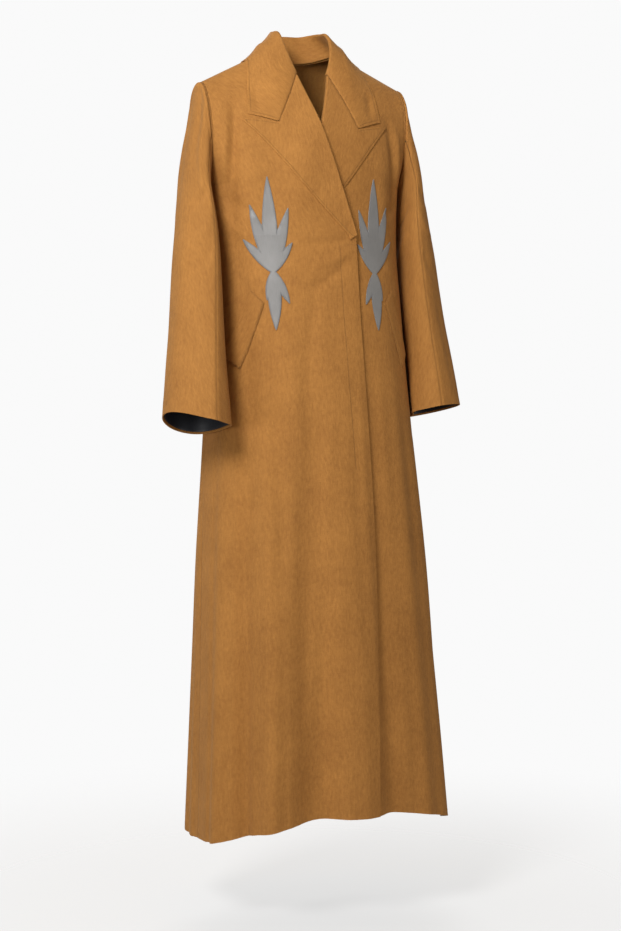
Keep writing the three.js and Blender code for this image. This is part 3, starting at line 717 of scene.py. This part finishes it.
def backPanel():
    rows = panelLevels()
    half = denseEnds(panels["backColumns"] // 2 + 1, 0.0, 0.6)
    shares = np.concatenate([-half[:0:-1], half])
    turn = np.broadcast_to(shares * 90, (len(rows), len(shares))).copy()
    around = np.where(turn < 0, -180, 180) - turn
    neckX = body["shoulderHalf"] * signedPower(np.sin(np.radians(turn)), 2 / body["squareness"])
    drop = body["backNeckDrop"] * np.maximum(1 - (neckX / body["neckHalf"]) ** 2, 0)
    level = levelOf(rows[:, None], hemLevel(around), -drop)
    grid, out = bodyCloth(-1, 1, turn, level)
    grid = trimToSeams(grid, -1, [0, -1], rows)
    across = lengths(grid, 1)
    fromHem = lengths(grid, 0)
    fromSeam = np.minimum(np.minimum(across, across[:, -1:] - across), fromHem[-1:, :] - fromHem)
    grid = rollIn(grid, out, fromSeam)
    middle = across[:, across.shape[1] // 2, None]
    # painted shade beside the seams; the hem painted lighter
    marks = {"seamShade": fromSeam, "fold": fromHem}
    uv = np.stack([across - middle, fromHem], -1)
    piece = clothPiece("back_cloth", grid, out, panels["wall"], marks, uv, [linen, lining], 1)
    showLinen(piece, lambda p: nearHem(p) or p.z > panels["yoke"] or byArmhole(-1, p))
    return piece


back = backPanel()
fronts = {side: frontPanel(side) for side in words}
print("body panels made")


# Lapels

lapels = {
    "wall": 1.5,
    "foot": 9,
    "tip": (143, -106.5),
    "gorge": (77, -133),
    "roll": (31, -46),
    "leftDrop": 8,
    "bulge": 6,
    "gorgeGap": 1.0,
    "rollHeight": 2.6,
    "stitchIn": 5.5,
    "gorgeShare": 0.6,
    "tipDrop": 1.6,
    "rows": 130,
    "columns": 46,
}


def edgeMarks(fromOuter, share, seamTo, toEnd, across, along, stitchIn):
    # topstitching along the outer edge and the open part of the end, which is sewn up to the share seamTo;
    # painted shade beside the stitches and along the sewn part of the end, and the outer edge painted
    # lighter
    pad = ((0, 0), (toEnd.shape[1] - fromOuter.shape[1], 0))
    outer = np.pad(fromOuter, pad, constant_values=99)
    isOpen = np.pad(share, pad) > seamTo
    sideMark = outer - stitchIn
    endMark = np.where(isOpen, toEnd - stitchIn, 99)
    useEnd = np.abs(endMark) < np.abs(sideMark)
    stitch = np.where(useEnd, np.where(outer > stitchIn - 0.5, endMark, 99),
                      np.where(toEnd > stitchIn - 0.5, sideMark, 99))
    marks = {"stitch": stitch, "run": np.where(useEnd, across, along), "fold": outer}
    marks["seamShade"] = np.where(isOpen, 99, toEnd)
    return marks, isOpen


def lapelPiece(side):
    word = words[side]
    look = lapels
    row = denseEnds(look["rows"], 0.3, 0.4)[:, None]
    column = denseEnds(look["columns"], 0.2, 0.7)[None, :]
    topShare = look["gorgeShare"]
    drop = look["leftDrop"] if side > 0 else 0
    toGorge = np.minimum(column / topShare, 1)
    toTip = np.maximum((column - topShare) / (1 - topShare), 0)
    topX = mix(mix(-look["roll"][0], -look["gorge"][0], toGorge), -look["tip"][0], toTip)
    topLevel = mix(mix(look["roll"][1], look["gorge"][1], toGorge), look["tip"][1], toTip)
    topLevel = topLevel - drop * toGorge - look["gorgeGap"] - look["tipDrop"] * toTip
    bow = look["bulge"] * np.sin(math.pi * row) * column**2
    footX = rollX(body["breakLevel"])
    x = mix(mix(footX, footX - look["foot"], column), topX, row) - bow
    level = mix(body["breakLevel"] - 6 * column, topLevel, row) - bow * 0.7
    base, out = onFront(side, -x, level)
    free = smoothstep(level, -240, -150) if side > 0 else 1 + 0 * level
    fromRoll = lengths(base, 1)
    fromOuter = fromRoll[:, -1:] - fromRoll
    pressed = 0.6 * (1 - smoothstep(fromOuter, 0, 12))
    height = 2.5 - pressed + look["rollHeight"] * free * (1 - column) ** 3
    height = height - 0.9 * np.exp(-(((1 - row) * 190 / 2.2) ** 2)) * (column < 0.62)
    grid = base + out * height[..., None]
    # the roll goes round the front's edge and a little way in under it as the facing
    count = 12
    around = np.linspace(0, math.pi, count)[:0:-1]
    inwards = unit(base[:, 1] - base[:, 0])
    top = height[:, :1]
    low = -(panels["wall"] + 0.3 + look["wall"]) - 0.6 * free[:, :1]
    low = mix(low, 1.0 + 0 * low, 1 - smoothstep(row, 0.0, 0.05))
    middle, reach = (top + low) / 2, (top - low) / 2
    bulgeOut = 3.4 * smoothstep(row, -0.02, 0.06)
    wrap = (base[:, :1] - inwards[:, None] * (bulgeOut * np.sin(around))[..., None]
            + out[:, :1] * (middle + reach * np.cos(around))[..., None])
    under = np.array([16.0, 11.0, 7.0, 3.5])[None, :, None]
    facing = base[:, :1] + inwards[:, None] * under + out[:, :1] * low[..., None]
    grid = np.concatenate([facing, wrap, grid], 1)
    outAll = np.concatenate([-out[:, :1] + 0 * facing, out[:, :1] + 0 * wrap, out], 1)
    along, across = lengths(grid, 0), lengths(grid, 1)
    share = np.broadcast_to(column, fromOuter.shape)
    toTop = along[-1:, :] - along
    marks = edgeMarks(fromOuter, share, topShare, toTop, across, along, look["stitchIn"])[0]
    # the grain runs a little across the lapel
    turned = 0.30 * side
    s, c = math.sin(turned), math.cos(turned)
    uv = np.stack([across * c - along * s, across * s + along * c], -1)
    return clothPiece(f"lapel_{word}_cloth", grid, outAll, look["wall"], marks, uv)


lapelPieces = {side: lapelPiece(side) for side in words}
print("lapels made")


# Collar: along is -2 at the right front end, -1 and 1 at the shoulders, 0 at the centre back and 2 at the
# left front end. share is 0 at the roll and 1 at the outer edge.

collar = {
    "wall": 1.3,
    # part of the way, roll x, roll level, rise off the body, how far up it leans, edge x, edge level
    "back": [
        (0, 0, -14, 50, 1.5, 0, -48), (0.3, 20, -13, 49, 1.5, 42, -47), (0.6, 38, -8, 46, 1.5, 80, -38),
        (0.82, 47, -3, 41, 1.5, 101, -19), (1, 50, 0, 36, 1.5, 109, 0),
    ],
    "front": [
        (0, 50, 0, 36, 1.5, 109, 0), (0.3, 49, -11, 27, 1.1, 118, -30), (0.6, 43, -27, 14, 0.6, 125, -66),
        (1, 31, -46, 3, 0, 129.5, -105),
    ],
    "notchShare": 0.63,
    "flatness": 1.8,
    "stitchIn": 5.5,
    "alongs": 241,
    "shares": 40,
    "standRows": 14,
}


def collarPoint(along, share):
    along, share = np.broadcast_arrays(np.asarray(along, float), np.asarray(share, float))
    side = np.where(along < 0, -1, 1)
    far = np.abs(along)
    onBack = far < 1
    at = np.where(onBack, far, far - 1)
    row = np.where(onBack[..., None], readRows(collar["back"], at), readRows(collar["front"], at))
    toCorner = np.where(onBack, 0, smoothstep(at, 0.55, 1))
    notch = collar["notchShare"]
    peak = np.where(share < notch, share / notch, (1 - share) / (1 - notch))
    gorgeX, gorgeLevel = lapels["gorge"]
    x = mix(row[..., 1], row[..., 5], share)
    x = x + toCorner * peak * (gorgeX - mix(row[..., 1], row[..., 5], notch))
    level = mix(row[..., 2], row[..., 6], share)
    level = level + toCorner * peak * (gorgeLevel - mix(row[..., 2], row[..., 6], notch))
    level = level - np.where(side > 0, lapels["leftDrop"], 0) * toCorner * np.minimum(share / notch, 1)
    level = np.minimum(level, 0)
    turn = turnAt(side * x, level)
    frontR, outR = bodyCloth(1, -1, turn, level)
    frontL, outL = bodyCloth(1, 1, turn, level)
    behind, outB = bodyCloth(-1, 1, turn, level)
    right = (side < 0)[..., None]
    onBack = onBack[..., None]
    point = np.where(onBack, behind, np.where(right, frontR, frontL))
    out = np.where(onBack, outB, np.where(right, outR, outL))
    up = np.array([0, 0, 1.0])
    lean = unit(out + up * row[..., 4:5])
    rise = (row[..., 3] * (1 - share) ** collar["flatness"])[..., None]
    clear = (0.4 + 0.6 * (1 - toCorner))[..., None]
    return point + out * clear + lean * rise


def collarPiece():
    look = collar
    notch = look["notchShare"]
    alongs = np.linspace(-2, 2, look["alongs"])
    alongs = alongs + 0.02 * np.sin(np.abs(alongs) * math.pi) * np.sign(alongs)
    shares = denseEnds(look["shares"], 0.2, 0.75)
    along, share = np.meshgrid(alongs, shares, indexing="ij")
    point = collarPoint(along, share)
    step = 0.012
    outwards = collarPoint(along, np.minimum(share + step, 1))
    outwards = outwards - collarPoint(along, np.maximum(share - step, 0))
    onwards = collarPoint(np.minimum(along + step, 2), share)
    onwards = onwards - collarPoint(np.maximum(along - step, -2), share)
    out = unit(np.cross(onwards, outwards))
    fromOuter = lengths(point, 1)
    fromOuter = fromOuter[:, -1:] - fromOuter
    height = 1.9 - 0.5 * (1 - smoothstep(fromOuter, 0, 12))
    toEnd = np.minimum(lengths(point, 0), lengths(point, 0)[-1:, :] - lengths(point, 0))
    height = height - 0.8 * np.exp(-((toEnd / 2.2) ** 2)) * (share < notch)
    fall = point + out * height[..., None]
    # stand: from the neck seam up to the roll, seen from the neck side
    roll = point[:, 0]
    inwards = unit(np.stack([-roll[:, 0], -roll[:, 1], 0 * roll[:, 0]], -1))
    far = np.abs(alongs)
    onBack = far < 1
    at = np.where(onBack, far, far - 1)
    neckX = np.where(onBack, body["neckHalf"] * np.sin(at * math.pi / 2), body["neckHalf"] - 36 * at)
    reach = (body["neckHalf"] - neckX) / (body["neckHalf"] + rollX(body["necklineFront"]))
    backLevel = -body["backNeckDrop"] * np.maximum(1 - (neckX / body["neckHalf"]) ** 2, 0)
    frontLevel = body["necklineFront"] * np.clip(reach, 0, 1) ** (1 / body["necklineBend"])
    neckLevel = np.where(onBack, backLevel, frontLevel)
    side = np.where(alongs < 0, -1, 1)
    turn = turnAt(side * neckX, neckLevel)
    foot = np.where(onBack[:, None], bodyForm(-1, turn, neckLevel), bodyForm(1, turn, neckLevel))
    toCorner = smoothstep(far, 1.4, 2)[:, None]
    up = np.array([0, 0, 1.0])
    foot = foot + inwards * mix(4.0, 6.4, toCorner)
    top = roll + inwards * mix(4.6, 6.4, toCorner) - up * 2
    rise = np.linspace(0, 1, look["standRows"])[None, :, None] ** 0.9
    stand = mix(foot[:, None], top[:, None], rise)
    # slightly hollow towards the neck
    stand = stand - inwards[:, None] * (1.6 * np.sin(math.pi * rise)) * (1 - toCorner[:, None])
    # the roll joins them
    start, goingUp = fall[:, 0], unit(fall[:, 0] - fall[:, 1])
    end, standUp = top, unit(top - stand[:, -2])
    pull = np.linalg.norm(start - end, axis=-1, keepdims=True) * 0.75
    t = np.linspace(0, 1, 12)[None, 1:-1, None]
    p0, p1 = end[:, None], (end + standUp * pull)[:, None]
    p2, p3 = (start + goingUp * pull)[:, None], start[:, None]
    rollOver = p0 * (1 - t) ** 3 + 3 * p1 * t * (1 - t) ** 2 + 3 * p2 * t**2 * (1 - t) + p3 * t**3
    grid = np.concatenate([stand, rollOver, fall], 1)
    outAll = np.concatenate([inwards[:, None] + 0 * stand, out[:, :1] + 0 * rollOver, out], 1)
    along, across = lengths(grid, 0), lengths(grid, 1)
    toEnd = np.minimum(along, along[-1:, :] - along)
    marks, isOpen = edgeMarks(fromOuter, share, notch, toEnd, across, along, look["stitchIn"])
    # the open end is painted lighter too, like the outer edge
    marks["fold"] = np.minimum(marks["fold"], np.where(isOpen, toEnd, 99))
    centre = along[len(alongs) // 2][None, :]
    uv = np.stack([across, along - centre], -1)
    return clothPiece("collar_cloth", grid, outAll, look["wall"], marks, uv)


collarCloth = collarPiece()
print("collar made")


# Sleeves: round the ring 0 is the outer line, 90 the front and 180 the inner line

sleeves = {
    "wall": 2.0,
    # outer x and z, inner x and z, half depth, swing to the front, tilt
    "rings": [
        (195, -60, 186, -245, 51, 0, 0), (199, -63, 187, -250, 54, -1, 0),
        (203, -84, 188, -257, 58, -2, 1), (209, -122, 188, -266, 63, -1, 2),
        (219, -166, 188, -278, 67, 2, 4), (228, -212, 188, -296, 70, 8, 5),
        (235, -262, 188, -322, 72, 16, 7), (244, -318, 188, -360, 74, 26, 8),
        (254, -378, 187, -408, 75, 37, 9), (262, -440, 186, -464, 76, 48, 9),
        (270, -502, 185, -522, 77, 60, 10), (280, -562, 183, -579, 78, 73, 10),
        (288, -612, 181, -627, 79, 85, 10), (294, -652, 180, -667, 80, 94, 10),
    ],
    "swing": {-1: 1.0, 1: 0.6},
    "tilt": {-1: 1.0, 1: 0.95},
    # how far the front half leans towards the body; along the sleeve, where that starts and is full,
    # how much of it goes again by the cuff, and how it's kept to the front
    "lean": {-1: 14, 1: 15},
    "leanShape": (0.28, 0.6, 0.45, 1.5),
    # how much wider the outer side is, and where and over what length
    "fuller": {-1: 0, 1: 5},
    "fullerShape": (0.52, 0.13),
    # how much lower the cuff sits: all round, more at the inner side, more at front and back
    "cuffDrop": {-1: (3, 7, 10), 1: (0, 0, 0)},
    "cuffDropFrom": 0.4,
    "clear": 6,  # gap to the body, from a little below the armhole
    "frontSeam": 92,
    "backSeam": 262,
    "pressedEdge": (5, 13),  # how far the fold beside the front seam stands out, and its half width
    "ease": (1.6, 9, 7),  # fullness under the armhole seam: height, place, half width
    "cuffBand": 8,
    "length": 600,
    "rows": 176,
    "topColumns": 92,
    "underColumns": 84,
    "liningInset": 4,
    "liningDepth": 160,
    "liningBelow": 4.3,
    "liningWall": 0.8,
    "roundScale": 1.2,  # mm for each degree round the sleeve, in the table of creases
    # round and down from the armhole in mm at both ends, half width, height, sideways bow
    "creases": {
        -1: [
            (20, 30, 36, 250, 12, -3.0, 6), (60, 60, 74, 300, 10, 2.6, -5),
            (-30, 60, -20, 300, 14, -2.6, 5), (96, 250, 30, 300, 9, -3.4, 8),
            (100, 300, 44, 352, 9, 3.0, 8), (104, 340, 40, 392, 10, -2.8, 9),
            (24, 300, 12, 560, 16, 2.4, 5), (70, 380, 62, 590, 12, -2.2, -5),
            (-50, 300, -40, 570, 16, -2.6, -6), (150, 240, 200, 300, 10, -3.0, 6),
            (150, 300, 210, 350, 10, 2.6, 6), (160, 350, 230, 410, 11, -2.6, 6),
            (240, 80, 250, 330, 14, -3.0, 5), (200, 360, 206, 560, 14, 2.6, 5),
            (270, 330, 280, 580, 14, 2.4, -5),
        ],
        1: [
            (22, 40, 34, 260, 12, -1.6, 6), (64, 70, 70, 300, 10, 1.4, -5),
            (-34, 60, -22, 320, 14, -2.6, 5), (98, 230, 36, 290, 9, -2.2, 8),
            (102, 290, 40, 340, 9, 2.2, 8), (100, 350, 50, 400, 10, -2.6, 9),
            (30, 330, 20, 580, 16, 2.2, 5), (74, 400, 66, 590, 12, -2.2, -5),
            (-46, 330, -36, 570, 16, -2.4, -6), (150, 230, 206, 290, 10, -3.0, 6),
            (156, 300, 214, 356, 10, 2.6, 6), (240, 90, 252, 340, 14, -2.8, 5),
            (200, 380, 208, 570, 14, 2.4, 5), (268, 330, 276, 580, 14, 2.2, -5),
        ],
    },
}


def bodySide(side, y, z):
    ring = readRows(body["rings"], np.minimum(z, body["underarm"]))
    depth = np.where(y < 0, ring[..., 2], ring[..., 3])
    power = body["squareness"]
    across = np.maximum(1 - (np.abs(y) / depth) ** power, 0) ** (1 / power)
    return side * ring[..., 4] + ring[..., 1] * across


def armholePlane(z):
    # a sleeve keeps outside this distance from the middle
    return armholeX(np.maximum(z, body["underarm"])) + 0.15 - 3 * np.maximum(body["underarm"] - z, 0)


def sleeveForm(side, along, around):
    along, around = np.broadcast_arrays(np.asarray(along, float), np.asarray(around, float))
    rings = [(i / (len(sleeves["rings"]) - 1), *row) for i, row in enumerate(sleeves["rings"])]
    ring = readRows(rings, along)
    outX, outZ, inX, inZ, depth, forward, tilt = (ring[..., i] for i in range(1, 8))
    share = sleeves["swing"][side]
    tilt = np.radians(tilt * sleeves["tilt"][side])
    power = 1 - 0.06 * smoothstep(along, 0, 0.2)
    c = signedPower(np.cos(np.radians(around)), power)
    s = signedPower(np.sin(np.radians(around)), power)
    height, halfWidth = sleeves["pressedEdge"]
    pressed = height * along**2 * np.exp(-(((around - sleeves["frontSeam"]) / halfWidth) ** 2))
    depth = (depth + pressed) * s
    start, full, lost, power = sleeves["leanShape"]
    lean = sleeves["lean"][side] * smoothstep(along, start, full) * (1 - lost * smoothstep(along, full, 1))
    middle, spread = sleeves["fullerShape"]
    fuller = sleeves["fuller"][side] * np.exp(-(((along - middle) / spread) ** 2))
    x = (outX + inX) / 2 + (outX - inX) / 2 * c - lean * np.maximum(s, 0) ** power
    x = x + fuller * np.maximum(c, 0)
    y = -forward * share - depth * np.cos(tilt)
    z = (outZ + inZ) / 2 + (outZ - inZ) / 2 * c + depth * np.sin(tilt)
    allRound, inner, ends = sleeves["cuffDrop"][side]
    drop = allRound + inner * (1 - c) + ends * s**2
    z = z - smoothstep(along, sleeves["cuffDropFrom"], 1) * drop
    clear = bodySide(side, y, z) + sleeves["clear"] * smoothstep(along, 0, 0.15)
    x = side * np.maximum(np.maximum(x, clear), armholePlane(z))
    return np.stack([x, y, z], -1)


def sleeveCloth(side, along, around):
    step = 0.004
    point = sleeveForm(side, along, around)
    down = sleeveForm(side, np.minimum(along + step, 1), around)
    down = down - sleeveForm(side, np.maximum(along - step, 0), around)
    ring = sleeveForm(side, along, around + 1) - sleeveForm(side, along, around - 1)
    inPlane = unit(np.stack([0 * ring[..., 0], ring[..., 2], -ring[..., 1]], -1))
    out = unit(np.cross(down, ring) * -side)
    out = unit(mix(out, inPlane, 1 - smoothstep(along, 0, 0.12)[..., None]))
    turned = np.where(around > sleeves["backSeam"], around - 360, around)
    lift = 0
    for start in (0, 360):
        across = (turned + start) * sleeves["roundScale"]
        lift = lift + strokes(sleeves["creases"][side], across, along * sleeves["length"])
    return point, out, lift * smoothstep(along, 0.02, 0.1)


def sleevePanel(side, kind):
    word = words[side]
    look = sleeves
    first, last = look["frontSeam"], look["backSeam"]
    if kind == "top":
        first, last = look["backSeam"] - 360, look["frontSeam"]
    count = look["topColumns"] if kind == "top" else look["underColumns"]
    alongs = np.concatenate([[0, 0.0025, 0.006], np.linspace(0, 1, look["rows"])[2:-1], [0.9965, 1]])
    along, share = np.meshgrid(alongs, denseEnds(count, 0.6, 0.6), indexing="ij")
    inset = mix(0.5, 0.0, smoothstep(along, 0.1, 0.5))
    around = mix(first + inset, last - inset, share)
    grid, out, lift = sleeveCloth(side, along, around)
    across = lengths(grid, 1)
    fromSeam = np.minimum(across, across[:, -1:] - across)
    down = lengths(grid, 0)
    fromCuff = down[-1:, :] - down
    lift = lift - 0.6 * np.exp(-((fromSeam / 2.2) ** 2)) - 0.6 * np.exp(-((down / 2.0) ** 2))
    height, place, halfWidth = look["ease"]
    lift = lift + height * np.exp(-(((down - place) / halfWidth) ** 2))
    grid = grid + out * lift[..., None]
    plane = armholePlane(grid[..., 2])
    away = np.abs(grid[..., 0])
    grid[..., 0] = side * np.where(along == 0, plane, np.maximum(away, plane))
    # painted shade beside the seams and round the armhole; the cuff edge painted lighter
    marks = {"seamShade": np.minimum(fromSeam, down), "fold": fromCuff, "run": down}
    uv = np.stack([across, down], -1)
    name = f"{kind}_sleeve_{word}_cloth"
    piece = clothPiece(name, grid, out, look["wall"], marks, uv, [linen, lining], 1)
    cuff = sleeveForm(side, np.ones(72), np.arange(72) * 5.0)

    def nearCuff(centre):
        return np.linalg.norm(cuff - np.array(centre) * 1000, axis=-1).min() < look["cuffBand"]

    showLinen(piece, nearCuff)
    return piece


def liningRing(side):
    word = words[side]
    look = sleeves
    alongs = 1 - (look["liningInset"] + look["liningDepth"] * np.linspace(0, 1, 34)) / look["length"]
    along, around = np.meshgrid(alongs, np.linspace(0, 360, 121), indexing="ij")
    turned = np.where(around > look["backSeam"], around - 360, around)
    grid, out, lift = sleeveCloth(side, along, turned)
    waves = 0.42 * np.sin(np.radians(around) * 9 + along * 30) * smoothstep(along, 0.98, 0.9)
    grid = grid + out * (lift - look["liningBelow"] + waves)[..., None]
    grid[:, -1] = grid[:, 0]
    name = f"sleeve_lining_{word}_cloth"
    return clothPiece(name, grid, out, look["liningWall"], {}, None, [lining], closed=True)


sleevePieces = {}
for side in words:
    sleevePieces["top", side] = sleevePanel(side, "top")
    sleevePieces["under", side] = sleevePanel(side, "under")
    sleevePieces["lining", side] = liningRing(side)
print("sleeves made")


# Pocket welts

welts = {
    "top": (134, -437),
    "bottom": (172, -556),
    "across": (-19, -23),
    "wall": 1.7,
    "rows": 64,
    "columns": 16,
    "stitchIn": 2.2,
}


def weltPiece(side):
    word = words[side]
    look = welts
    row, column = np.meshgrid(denseEnds(look["rows"]), denseEnds(look["columns"]), indexing="ij")
    x = mix(look["top"][0], look["bottom"][0], row) + look["across"][0] * column
    level = mix(look["top"][1], look["bottom"][1], row) + look["across"][1] * column
    base, out = onFront(side, x, level)
    across, down = lengths(base, 1), lengths(base, 0)
    toSewn = across[:, -1:] - across
    toEnds = np.minimum(down, down[-1:, :] - down)
    height = 2.9 - 1.1 * np.exp(-((toSewn / 2.5) ** 2)) - 0.9 * np.exp(-((toEnds / 2.5) ** 2))
    grid = base + out * height[..., None]
    useEnd = toEnds < toSewn
    # painted shade beside the stitches and along the sewn side and ends; the free edge painted lighter
    marks = {
        "stitch": np.where(useEnd, toEnds, toSewn) - look["stitchIn"],
        "run": np.where(useEnd, across, down),
        "seamShade": np.minimum(toSewn, toEnds),
        "fold": across,
    }
    uv = np.stack([across, down], -1)
    return clothPiece(f"pocket_welt_{word}_cloth", grid, out, look["wall"], marks, uv)


weltPieces = {side: weltPiece(side) for side in words}
print("pocket welts made")


# Applied motifs: slim leaves from one point

motifs = {
    "root": (98, -405),
    # lean from upright in degrees, length, width
    "leaves": [
        (2, 172, 25), (16, 126, 20), (-14, 118, 20), (37, 74, 16), (-33, 62, 15), (180, 104, 22),
        (166, 52, 14), (203, 62, 15),
    ],
    "cell": 1.25,
    "wall": 0.9,
    "height": 1.6,
}


def leafDepth(x, level):
    # how far inside the motif's outline a point lies, in mm
    best = np.full(np.shape(x), -99.0)
    rootX, rootLevel = motifs["root"]
    for lean, length, width in motifs["leaves"]:
        s, c = math.sin(math.radians(lean)), math.cos(math.radians(lean))
        along = (x - rootX) * s + (level - rootLevel) * c
        across = np.abs((x - rootX) * c - (level - rootLevel) * s)
        share = np.clip(along / length, 0, 1)
        least = mix(6, 1.2, share)
        half = (least + (width - least) * np.maximum(np.sin(math.pi * share**0.8), 0) ** 0.9) / 2
        past = np.maximum(np.maximum(along - length, -along - 0.06 * length), 0)
        best = np.maximum(best, half - across - 3 * past)
    return best


def motifPiece(side):
    word = words[side]
    cell = motifs["cell"]
    rootX, rootLevel = motifs["root"]
    xs = np.arange(rootX - 80, rootX + 80, cell)
    levels = np.arange(rootLevel - 112, rootLevel + 180, cell)
    gridX, gridLevel = np.meshgrid(xs, levels, indexing="ij")
    depth = leafDepth(gridX, gridLevel)
    corners, faces, found = [], [], {}

    def corner(key, x, level):
        if key not in found:
            found[key] = len(corners)
            corners.append((x, level))
        return found[key]

    inside = depth > 0
    ring = ((0, 0), (1, 0), (1, 1), (0, 1))
    for i in range(len(xs) - 1):
        for j in range(len(levels) - 1):
            if not inside[i:i + 2, j:j + 2].any():
                continue
            face = []
            for k in range(4):
                a = (i + ring[k][0], j + ring[k][1])
                b = (i + ring[(k + 1) % 4][0], j + ring[(k + 1) % 4][1])
                if inside[a]:
                    face.append(corner(a, gridX[a], gridLevel[a]))
                if inside[a] != inside[b]:
                    t = min(max(depth[a] / (depth[a] - depth[b]), 0.04), 0.96)
                    x, level = mix(gridX[a], gridX[b], t), mix(gridLevel[a], gridLevel[b], t)
                    face.append(corner((min(a, b), max(a, b)), x, level))
            if len(face) > 2:
                faces.append(face)
    flat = np.array(corners)
    x, level = flat[:, 0], flat[:, 1]
    base, out = onFront(side, x, level)
    inset = np.maximum(leafDepth(x, level), 0)
    height = motifs["height"] - 0.5 * (1 - smoothstep(inset, 0, 3))
    points = base + out * height[:, None]
    a, b, c = (points[[face[k] for face in faces]] for k in range(3))
    facing = (np.cross(b - a, c - a) * out[[face[0] for face in faces]]).sum()
    if facing < 0:
        faces = [face[::-1] for face in faces]
    marks = {"stitch": inset - 1.2, "run": level * 1.0 + x * 0.35, "fold": inset}
    piece = meshFrom(f"motif_{word}_cloth", points, faces, flat, marks, [satin])
    editMesh(piece, lambda work: bmesh.ops.dissolve_degenerate(work, dist=2e-5, edges=work.edges))
    finishCloth(piece, motifs["wall"], 0)
    return piece


motifPieces = {side: motifPiece(side) for side in words}
print("motifs made")


# Each piece hangs from the root, and the frame nodes it stands for are hidden


def declare(piece, nodes):
    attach(piece, "root")
    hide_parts(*nodes)


declare(back, ["back"])
declare(collarCloth, ["collar_fall", "collar_stand"])
for side, word in words.items():
    declare(fronts[side], [f"front_{word}"])
    declare(lapelPieces[side], [f"lapel_{word}"])
    for kind in ("top", "under"):
        declare(sleevePieces[kind, side], [f"{kind}_sleeve_{word}"])
    declare(sleevePieces["lining", side], [f"sleeve_lining_{word}"])
    declare(weltPieces[side], [f"pocket_welt_{word}"])
    declare(motifPieces[side], [f"motif_{word}"])
print("pieces declared")


# Floor, light and camera

stage = {
    "floor": -1.585,
    "size": 6.0,
    "floorColour": (0.76, 0.76, 0.76, 1),
    # how clear the floor is near the middle, and the distances between which it fades away
    "clearness": 0.62,
    "fade": (0.3, 1.5),
    "sky": (1.0, 0.90, 0.78, 1),
    "skyStrength": 0.26,
    "ground": (0.955, 0.955, 0.955, 1),  # what the camera sees behind the coat
}

bpy.ops.object.select_all(action="DESELECT")
bpy.ops.mesh.primitive_plane_add(size=stage["size"], location=(0, 0, stage["floor"]))
floor = bpy.context.object
floor.name = "floor"
floorNodes = Nodes("paleFloor")
floorNodes.surface({"Base Color": stage["floorColour"], "Roughness": 0.9})
place = floorNodes.add("ShaderNodeTexCoord").outputs["Object"]
distance = floorNodes.add("ShaderNodeVectorMath", operation="LENGTH")
floorNodes.link(place, distance.inputs[0])
fade = floorNodes.ramp(distance.outputs["Value"], *stage["fade"], stage["clearness"], 1)
clear = floorNodes.add("ShaderNodeBsdfTransparent")
blend = floorNodes.add("ShaderNodeMixShader")
for socket, source in zip(blend.inputs, (fade, floorNodes.shader.outputs[0], clear.outputs[0])):
    floorNodes.link(source, socket)
floorNodes.link(blend.outputs[0], floorNodes.tree.nodes["Material Output"].inputs["Surface"])
floor.data.materials.append(floorNodes.material)

world = bpy.data.worlds.new("studio")
bpy.context.scene.world = world
world.use_nodes = True
tree = world.node_tree
sky = tree.nodes["Background"]
sky.inputs["Color"].default_value = stage["sky"]
sky.inputs["Strength"].default_value = stage["skyStrength"]
ground = tree.nodes.new("ShaderNodeBackground")
ground.inputs["Color"].default_value = stage["ground"]
path = tree.nodes.new("ShaderNodeLightPath")
either = tree.nodes.new("ShaderNodeMixShader")
sources = path.outputs["Is Camera Ray"], sky.outputs[0], ground.outputs[0]
for socket, source in zip(either.inputs, sources):
    tree.links.new(source, socket)
tree.links.new(either.outputs[0], tree.nodes["World Output"].inputs["Surface"])

# place, what it points at, size across, power in watts, spread in degrees
lamps = {
    "key": ((-2.05, -2.0, 1.4), (0.0, 0.0, 0.0), 1.2, 31, 95),
    "side": ((-3.3, -0.9, -0.8), (0.0, 0.0, -1.05), 1.3, 25, 180),
    "fill": ((0.95, -3.5, -0.7), (0.0, 0.0, -1.0), 2.2, 27, 180),
    "behind": ((1.2, 3.4, 1.2), (0.0, 0.0, -0.6), 2.2, 80, 180),
    "behindLeft": ((1.9, 3.1, 0.2), (0.0, 0.0, -0.7), 2.0, 20, 180),
    "behindRight": ((-3.0, 2.6, 0.4), (0.0, 0.0, -0.7), 2.0, 14, 180),
}
for name, (place, target, size, power, spread) in lamps.items():
    light = bpy.data.lights.new(name, "AREA")
    light.shape = "DISK"
    light.size = size
    light.energy = power
    light.spread = math.radians(spread)
    lamp = bpy.data.objects.new(name, light)
    bpy.context.scene.collection.objects.link(lamp)
    lamp.location = place
    lamp.rotation_euler = (Vector(target) - Vector(place)).to_track_quat("-Z", "Y").to_euler()

# metres, degrees and millimetres
shot = {
    "azimuth": -22.0, "distance": 4.116, "height": -0.526, "down": 3.244, "yaw": 0.28, "lens": 85.6,
    "sensor": 36,
}
cameraData = bpy.data.cameras.new("photoCamera")
cameraData.sensor_fit = "VERTICAL"
cameraData.sensor_height = shot["sensor"]
cameraData.lens = shot["lens"]
camera = bpy.data.objects.new("photoCamera", cameraData)
bpy.context.scene.collection.objects.link(camera)
angle = math.radians(shot["azimuth"])
camera.location = (math.sin(angle) * shot["distance"], -math.cos(angle) * shot["distance"], shot["height"])
camera.rotation_euler = (math.radians(90 - shot["down"]), 0, angle - math.radians(shot["yaw"]))
bpy.context.scene.camera = camera
bpy.context.scene.view_settings.view_transform = "Standard"

print("scene ready")
